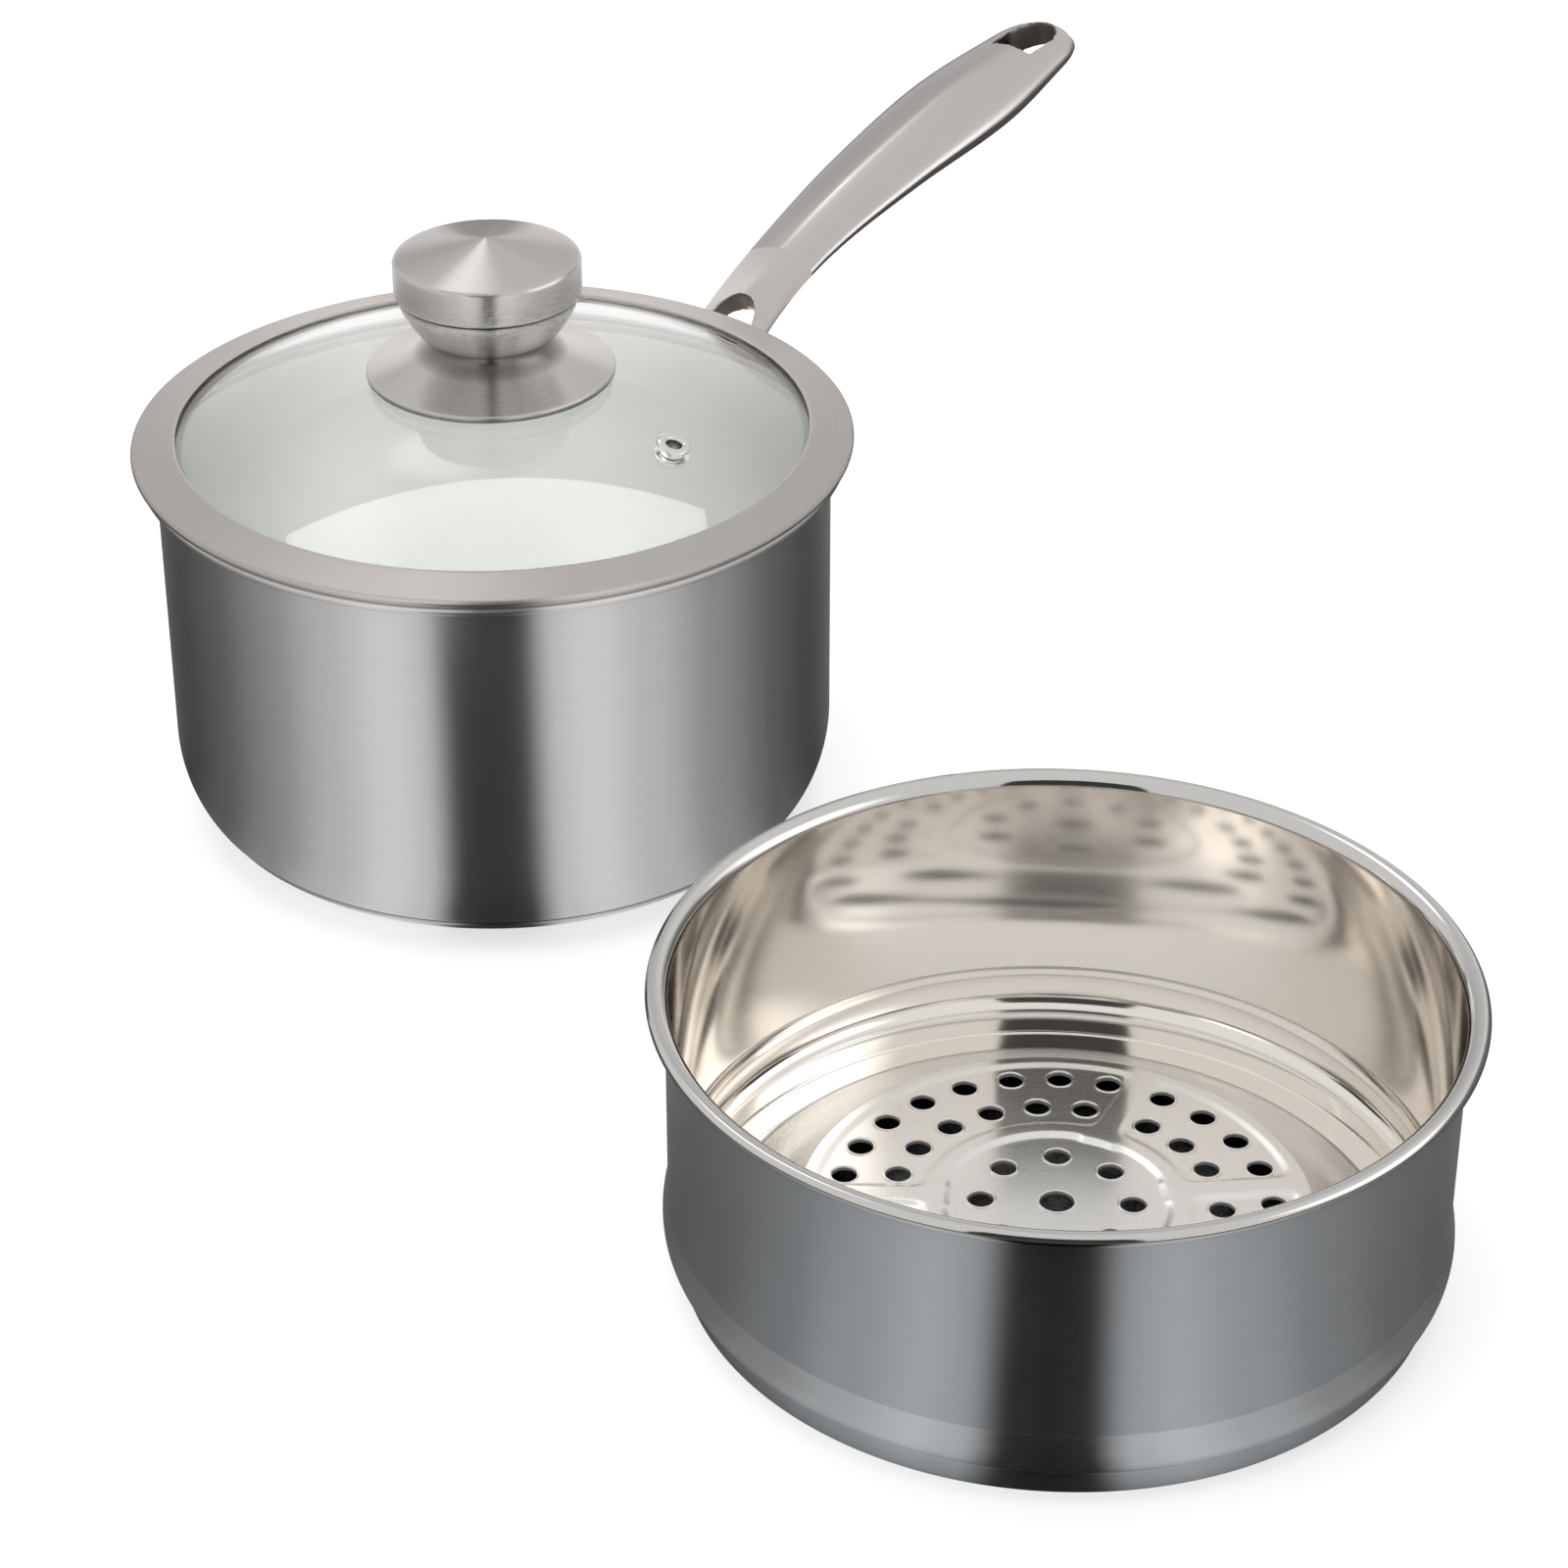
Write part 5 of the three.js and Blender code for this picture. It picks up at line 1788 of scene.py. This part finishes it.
        finishes = (STEAMER_OUTSIDE, STEAMER_INSIDE, STEAMER_RIM, STEAMER_PLATE, STEAMER_BEAD_HIGHLIGHT)
        finish_faces(body, [finish.material() for finish in finishes], side)
        place_piece(body, Body.STEAMER, "steamer_body")


PAN_STOPS = (
    (0.0, 0.02), (0.075, 0.03), (0.16, 0.85), (0.24, 1.0),
    (0.40, 0.72), (0.58, 0.36), (0.78, 0.14), (1.0, 0.05),
)
KNOB_STOPS = (
    (0.0, 0.22), (0.05, 0.26), (0.11, 1.0), (0.22, 1.05),
    (0.45, 0.8), (0.7, 0.66), (1.0, 0.6),
)
STEAMER_STOPS = (
    (0.0, 0.01), (0.075, 0.02), (0.16, 0.85), (0.24, 1.0),
    (0.40, 0.74), (0.58, 0.44), (0.78, 0.26), (1.0, 0.20),
)


@dataclass
class LightTent:
    """A low light tent round a vessel, seen only in reflections, with a dark slit and soft flanks."""

    name: str
    centre: Point
    facing: float
    radius: float
    height: float
    inner: float
    tint: Colour
    level: float
    base: float = 0.4
    dark_floor: Point = (0.0, 1.0)
    floor_shade: float = 0.25
    stops: tuple[Point, ...] = PAN_STOPS

    def material(self) -> Material:
        """Makes the tent's glow, which changes with the direction round the vessel."""
        made, board, coords = new_material(self.name, glows=True)
        middle = (self.centre[0] * MM, self.centre[1] * MM, 0)
        moved = board.vectors("SUBTRACT", coords, middle).outputs[0]
        axes = board.axes(board.mapped(moved, Rotation=(0, 0, -math.radians(self.facing))))
        angle = board.maths("ABSOLUTE", board.maths("ARCTAN2", axes[1], axes[0]))
        folded = board.maths("MINIMUM", angle, board.maths("SUBTRACT", math.pi, angle))
        ramp = board.node("ShaderNodeValToRGB", {0: board.maths("DIVIDE", folded, math.pi / 2)})
        elements = ramp.color_ramp.elements
        ramp.color_ramp.interpolation = "EASE"
        while len(elements) < len(self.stops):
            elements.new(0.5)
        for element, (place, level) in zip(elements, self.stops):
            element.position = place
            element.color = opaque(self.tint, level)
        distance = board.measure("LENGTH", board.vectors("MULTIPLY", moved, (1, 1, 0)).outputs[0])
        start, end = self.dark_floor
        away = board.spread(distance, self.floor_shade, 1.0, (start * MM, end * MM))
        light = {"Color": ramp.outputs[0], "Strength": board.maths("MULTIPLY", away, self.level)}
        glow = board.result("ShaderNodeEmission", light)
        clear = board.result("ShaderNodeBsdfTransparent")
        back = board.node("ShaderNodeNewGeometry").outputs["Backfacing"]
        board.show(board.mix(back, glow, clear))
        return made

    def build(self) -> None:
        """Builds the tent as an open bowl that only reflections see."""
        line = [(self.inner, self.base), (self.radius, self.base), (self.radius, self.height)]
        tent = spun(self.name, line, STUDIO_STEPS, self.centre, inside=True)
        floor_face = min(tent.data.polygons, key=lambda face: face.center.z)
        if floor_face.normal.z < 0:
            tent.data.flip_normals()
        finish_faces(tent, [self.material()])
        only_in_reflections(tent)


def only_in_reflections(card: Piece) -> None:
    """Makes a studio card that only reflections see."""
    for ray in ("camera", "diffuse", "shadow", "transmission", "volume_scatter"):
        setattr(card, f"visible_{ray}", False)


def round_sheet(name: str, radius: float, height: float) -> Piece:
    """Adds a flat round sheet at a height, in metres."""
    deselect_all()
    bpy.ops.mesh.primitive_circle_add(
        vertices=STUDIO_STEPS, radius=radius, fill_type="NGON", location=(0, 0, height)
    )
    sheet = bpy.context.object
    sheet.name = name
    bpy.ops.object.transform_apply(location=True)
    return sheet


def plain_glow(name: str, level: float) -> Material:
    """Makes an even grey glow for a card of the studio."""
    made, board, _ = new_material(name, glows=True)
    board.show(board.result("ShaderNodeEmission", {"Color": opaque(WHITE, level)}))
    return made


@dataclass(frozen=True)
class Glow:
    """A soft area of the dome that is brighter or darker than the rest."""

    bearing: float
    height: float
    core: float
    reach: float
    level: float

    def direction(self) -> Vector:
        """Direction of its middle, with the bearing in degrees anticlockwise from the X axis."""
        turn, rise = math.radians(self.bearing), math.radians(self.height)
        return Vector((math.cos(turn) * math.cos(rise), math.sin(turn) * math.cos(rise), math.sin(rise)))


@dataclass
class ReflectedDome:
    """The studio as polished metal sees it: a dome with soft lamps over a dark floor."""

    radius: float = 3.0
    level: float = 0.80
    floor_level: float = 0.10
    floor_height: float = 0.15
    segments: int = 64
    rings: int = 32
    glows: tuple[Glow, ...] = (
        Glow(297, 31, 9, 27, 0.95),
        Glow(50, 52, 2, 8, 2.0),
        Glow(326, 36, 6, 16, 0.5),
        Glow(60, 6, 12, 36, -0.12),
        Glow(338, 4, 16, 36, -0.6),
        Glow(42, 28, 8, 26, -0.18),
    )

    def material(self) -> Material:
        """Makes the dome's glow, which changes with the direction."""
        made, board, coords = new_material("reflected_dome", glows=True)
        facing = board.vectors("NORMALIZE", coords).outputs[0]
        total: object = self.level
        for glow in self.glows:
            nearness = board.measure("DOT_PRODUCT", facing, glow.direction())
            reach = (math.cos(math.radians(glow.reach)), math.cos(math.radians(glow.core)))
            share = board.spread(nearness, 0.0, 1.0, reach, "SMOOTHSTEP")
            total = board.maths("ADD", board.maths("MULTIPLY", share, glow.level), total)
        board.show(board.result("ShaderNodeEmission", {"Color": opaque(WHITE), "Strength": total}))
        return made

    def build(self) -> None:
        """Builds the dome and the dark floor, which only reflections see."""
        deselect_all()
        bpy.ops.mesh.primitive_uv_sphere_add(
            segments=self.segments, ring_count=self.rings, radius=self.radius
        )
        dome = bpy.context.object
        dome.name = "reflected_dome"
        bpy.ops.object.mode_set(mode="EDIT")
        bpy.ops.mesh.select_all(action="SELECT")
        bpy.ops.mesh.bisect(plane_co=(0, 0, 0), plane_no=(0, 0, 1), clear_inner=True)
        bpy.ops.object.mode_set(mode="OBJECT")
        finish_faces(dome, [self.material()])
        only_in_reflections(dome)
        sheet = round_sheet("reflected_floor", self.radius, self.floor_height * MM)
        finish_faces(sheet, [plain_glow("reflected_floor", self.floor_level)])
        only_in_reflections(sheet)


@dataclass
class Studio:
    """Pale floor, white surroundings, soft lamps and the cards that the metal mirrors."""

    floor_radius: float = 6000.0
    floor_level: float = 0.93
    floor_drop: float = 0.3
    shade_reach: float = 0.03
    shade_level: float = 0.01
    shade_radius: float = 84.0
    shade_range: Point = (0.4, 0.95)
    shadow_fade: float = 0.68
    fade_range: Point = (0.45, 1.1)
    sky_level: float = 0.62
    lamp_size: float = 2.6
    lamp_power: float = 90.0
    lamp_aim: Place = (0.0, -0.1, 0.05)
    top_lamp: Place = (0.2, 0.1, 2.6)
    left_lamp: Place = (-2.2, 0.9, 1.7)
    left_share: float = 0.5
    slit_distance: float = 1.7
    slit_half_width: float = 0.65
    slit_height: float = 3.4
    slit_level: float = 0.05
    pan_tent_turn: float = -3.4

    def build_world(self) -> None:
        """White surroundings for the camera, metal and glass, and a softer light elsewhere."""
        world = bpy.data.worlds.new("studio")
        bpy.context.scene.world = world
        world.use_nodes = True
        board = Board(world.node_tree)
        board.tree.nodes.clear()
        soft, white = (
            board.result("ShaderNodeBackground", {"Color": opaque(WHITE), "Strength": level})
            for level in (self.sky_level, 1.0)
        )
        output = board.node("ShaderNodeOutputWorld")
        board.feed(output.inputs[0], board.mix(board.seen(), soft, white))

    def floor_material(self) -> Material:
        """Makes a floor with painted shade, nearly black, under the steamer's foot where the steamer covers
        it, and plain white far off.
        """
        made, board, coords = new_material("pale_floor")
        # Painted shade: inside the steamer's foot the floor colour turns nearly black where ambient
        # occlusion finds the steamer close above.
        foot = (STEAMER_CENTRE[0] * MM, STEAMER_CENTRE[1] * MM, -self.floor_drop * MM)
        beside = board.measure("DISTANCE", coords, foot)
        open_floor = board.maths("GREATER_THAN", beside, self.shade_radius * MM)
        clear = board.spread(board.openness(self.shade_reach), 0.0, 1.0, self.shade_range)
        open_floor = board.maths("MAXIMUM", clear, open_floor)
        shade, pale = opaque(WHITE, self.shade_level), opaque(WHITE, self.floor_level)
        surface = board.shade(
            {
                "Base Color": board.blend(open_floor, shade, pale),
                "Roughness": 1.0,
                "Specular IOR Level": 0.0,
            }
        )
        distance = board.measure("LENGTH", coords)
        far = board.spread(distance, self.shadow_fade, 1.0, self.fade_range, "SMOOTHSTEP")
        white = board.result("ShaderNodeEmission", {"Color": opaque(WHITE), "Strength": 1.0})
        share = board.maths("MULTIPLY", board.maths("MULTIPLY", far, open_floor), board.seen())
        board.show(board.mix(share, surface, white))
        return made

    def build_floor(self) -> None:
        """Pale round floor that keeps a light shadow near the object."""
        floor = round_sheet("floor", self.floor_radius * MM, -self.floor_drop * MM)
        finish_faces(floor, [self.floor_material()])

    def build_lamp(self, name: str, place: Vector, aim: Vector, power: float) -> None:
        """Soft square lamp at a place, turned to an aim."""
        deselect_all()
        bpy.ops.object.light_add(type="AREA", location=place)
        lamp = bpy.context.object
        lamp.name = name
        lamp.data.size = self.lamp_size
        lamp.data.energy = power
        lamp.rotation_euler = (aim - place).to_track_quat("-Z", "Y").to_euler()
        lamp.visible_glossy = False
        lamp.visible_camera = False

    def build_slit(self, camera: "PhotoCamera") -> None:
        """Tall dark card behind the camera, which draws the dark bands on the polished metal."""
        turn = math.radians(camera.bearing(STEAMER_CENTRE))
        back = Vector((math.cos(turn), math.sin(turn), 0))
        side = Vector((-back.y, back.x, 0))
        middle = Vector((STEAMER_CENTRE[0], STEAMER_CENTRE[1], 0)) * MM + back * self.slit_distance
        reach = side * self.slit_half_width
        card = chain("dark_slit", [middle - reach, middle + reach])
        bpy.ops.mesh.extrude_region_move(TRANSFORM_OT_translate={"value": (0, 0, self.slit_height)})
        bpy.ops.object.mode_set(mode="OBJECT")
        finish_faces(card, [plain_glow("dark_card", self.slit_level)])
        only_in_reflections(card)

    def build(self, camera: "PhotoCamera") -> None:
        """Builds the studio round the object."""
        self.build_world()
        self.build_floor()
        aim = Vector(self.lamp_aim)
        self.build_lamp("top_lamp", Vector(self.top_lamp), aim, self.lamp_power)
        self.build_lamp("left_lamp", Vector(self.left_lamp), aim, self.lamp_power * self.left_share)
        self.build_slit(camera)
        ReflectedDome().build()
        pan_facing = camera.bearing(PAN_CENTRE)
        LightTent(
            "pan_tent",
            PAN_CENTRE,
            pan_facing + self.pan_tent_turn,
            radius=122,
            height=107,
            inner=74,
            tint=(1, 0.99, 0.975),
            level=0.84,
        ).build()
        LightTent(
            "knob_tent",
            PAN_CENTRE,
            pan_facing,
            radius=127,
            height=190,
            inner=125,
            tint=(1, 0.985, 0.96),
            level=1.05,
            stops=KNOB_STOPS,
        ).build()
        LightTent(
            "steamer_tent",
            STEAMER_CENTRE,
            camera.bearing(STEAMER_CENTRE),
            radius=122,
            height=66,
            inner=82,
            tint=(0.96, 0.985, 1.0),
            level=0.60,
            dark_floor=(86, 97),
            stops=STEAMER_STOPS,
        ).build()
        bpy.context.scene.view_settings.view_transform = "Standard"


@dataclass
class PhotoCamera:
    """Camera at the photograph's viewing angle."""

    position: Place = (-0.7365, -0.6636, 0.5941)
    direction: Place = (0.6799, 0.5217, -0.5154)
    lens: float = 93.5
    sensor: float = 36.0

    def bearing(self, centre: Point) -> float:
        """Direction of the camera from a place on the floor, in degrees."""
        across = self.position[0] - centre[0] * MM
        along = self.position[1] - centre[1] * MM
        return math.degrees(math.atan2(along, across))

    def build(self) -> None:
        """Adds the camera and makes it the scene's own."""
        deselect_all()
        bpy.ops.object.camera_add(location=self.position)
        camera = bpy.context.object
        camera.name = "photo_camera"
        camera.rotation_euler = Vector(self.direction).to_track_quat("-Z", "Y").to_euler()
        camera.data.lens = self.lens
        camera.data.sensor_width = self.sensor
        bpy.context.scene.camera = camera


def main() -> None:
    """Builds the set piece by piece, then the studio round it."""
    logging.basicConfig(level=logging.INFO, format="%(message)s")
    camera = PhotoCamera()
    camera.build()
    PanVessel().build()
    Handle().build()
    disc = LidDisc()
    vent = Vent()
    disc.build(vent)
    vent.build(disc)
    Knob().build(disc)
    SteamerInsert().build()
    Studio().build(camera)


if __name__ == "__main__":
    main()
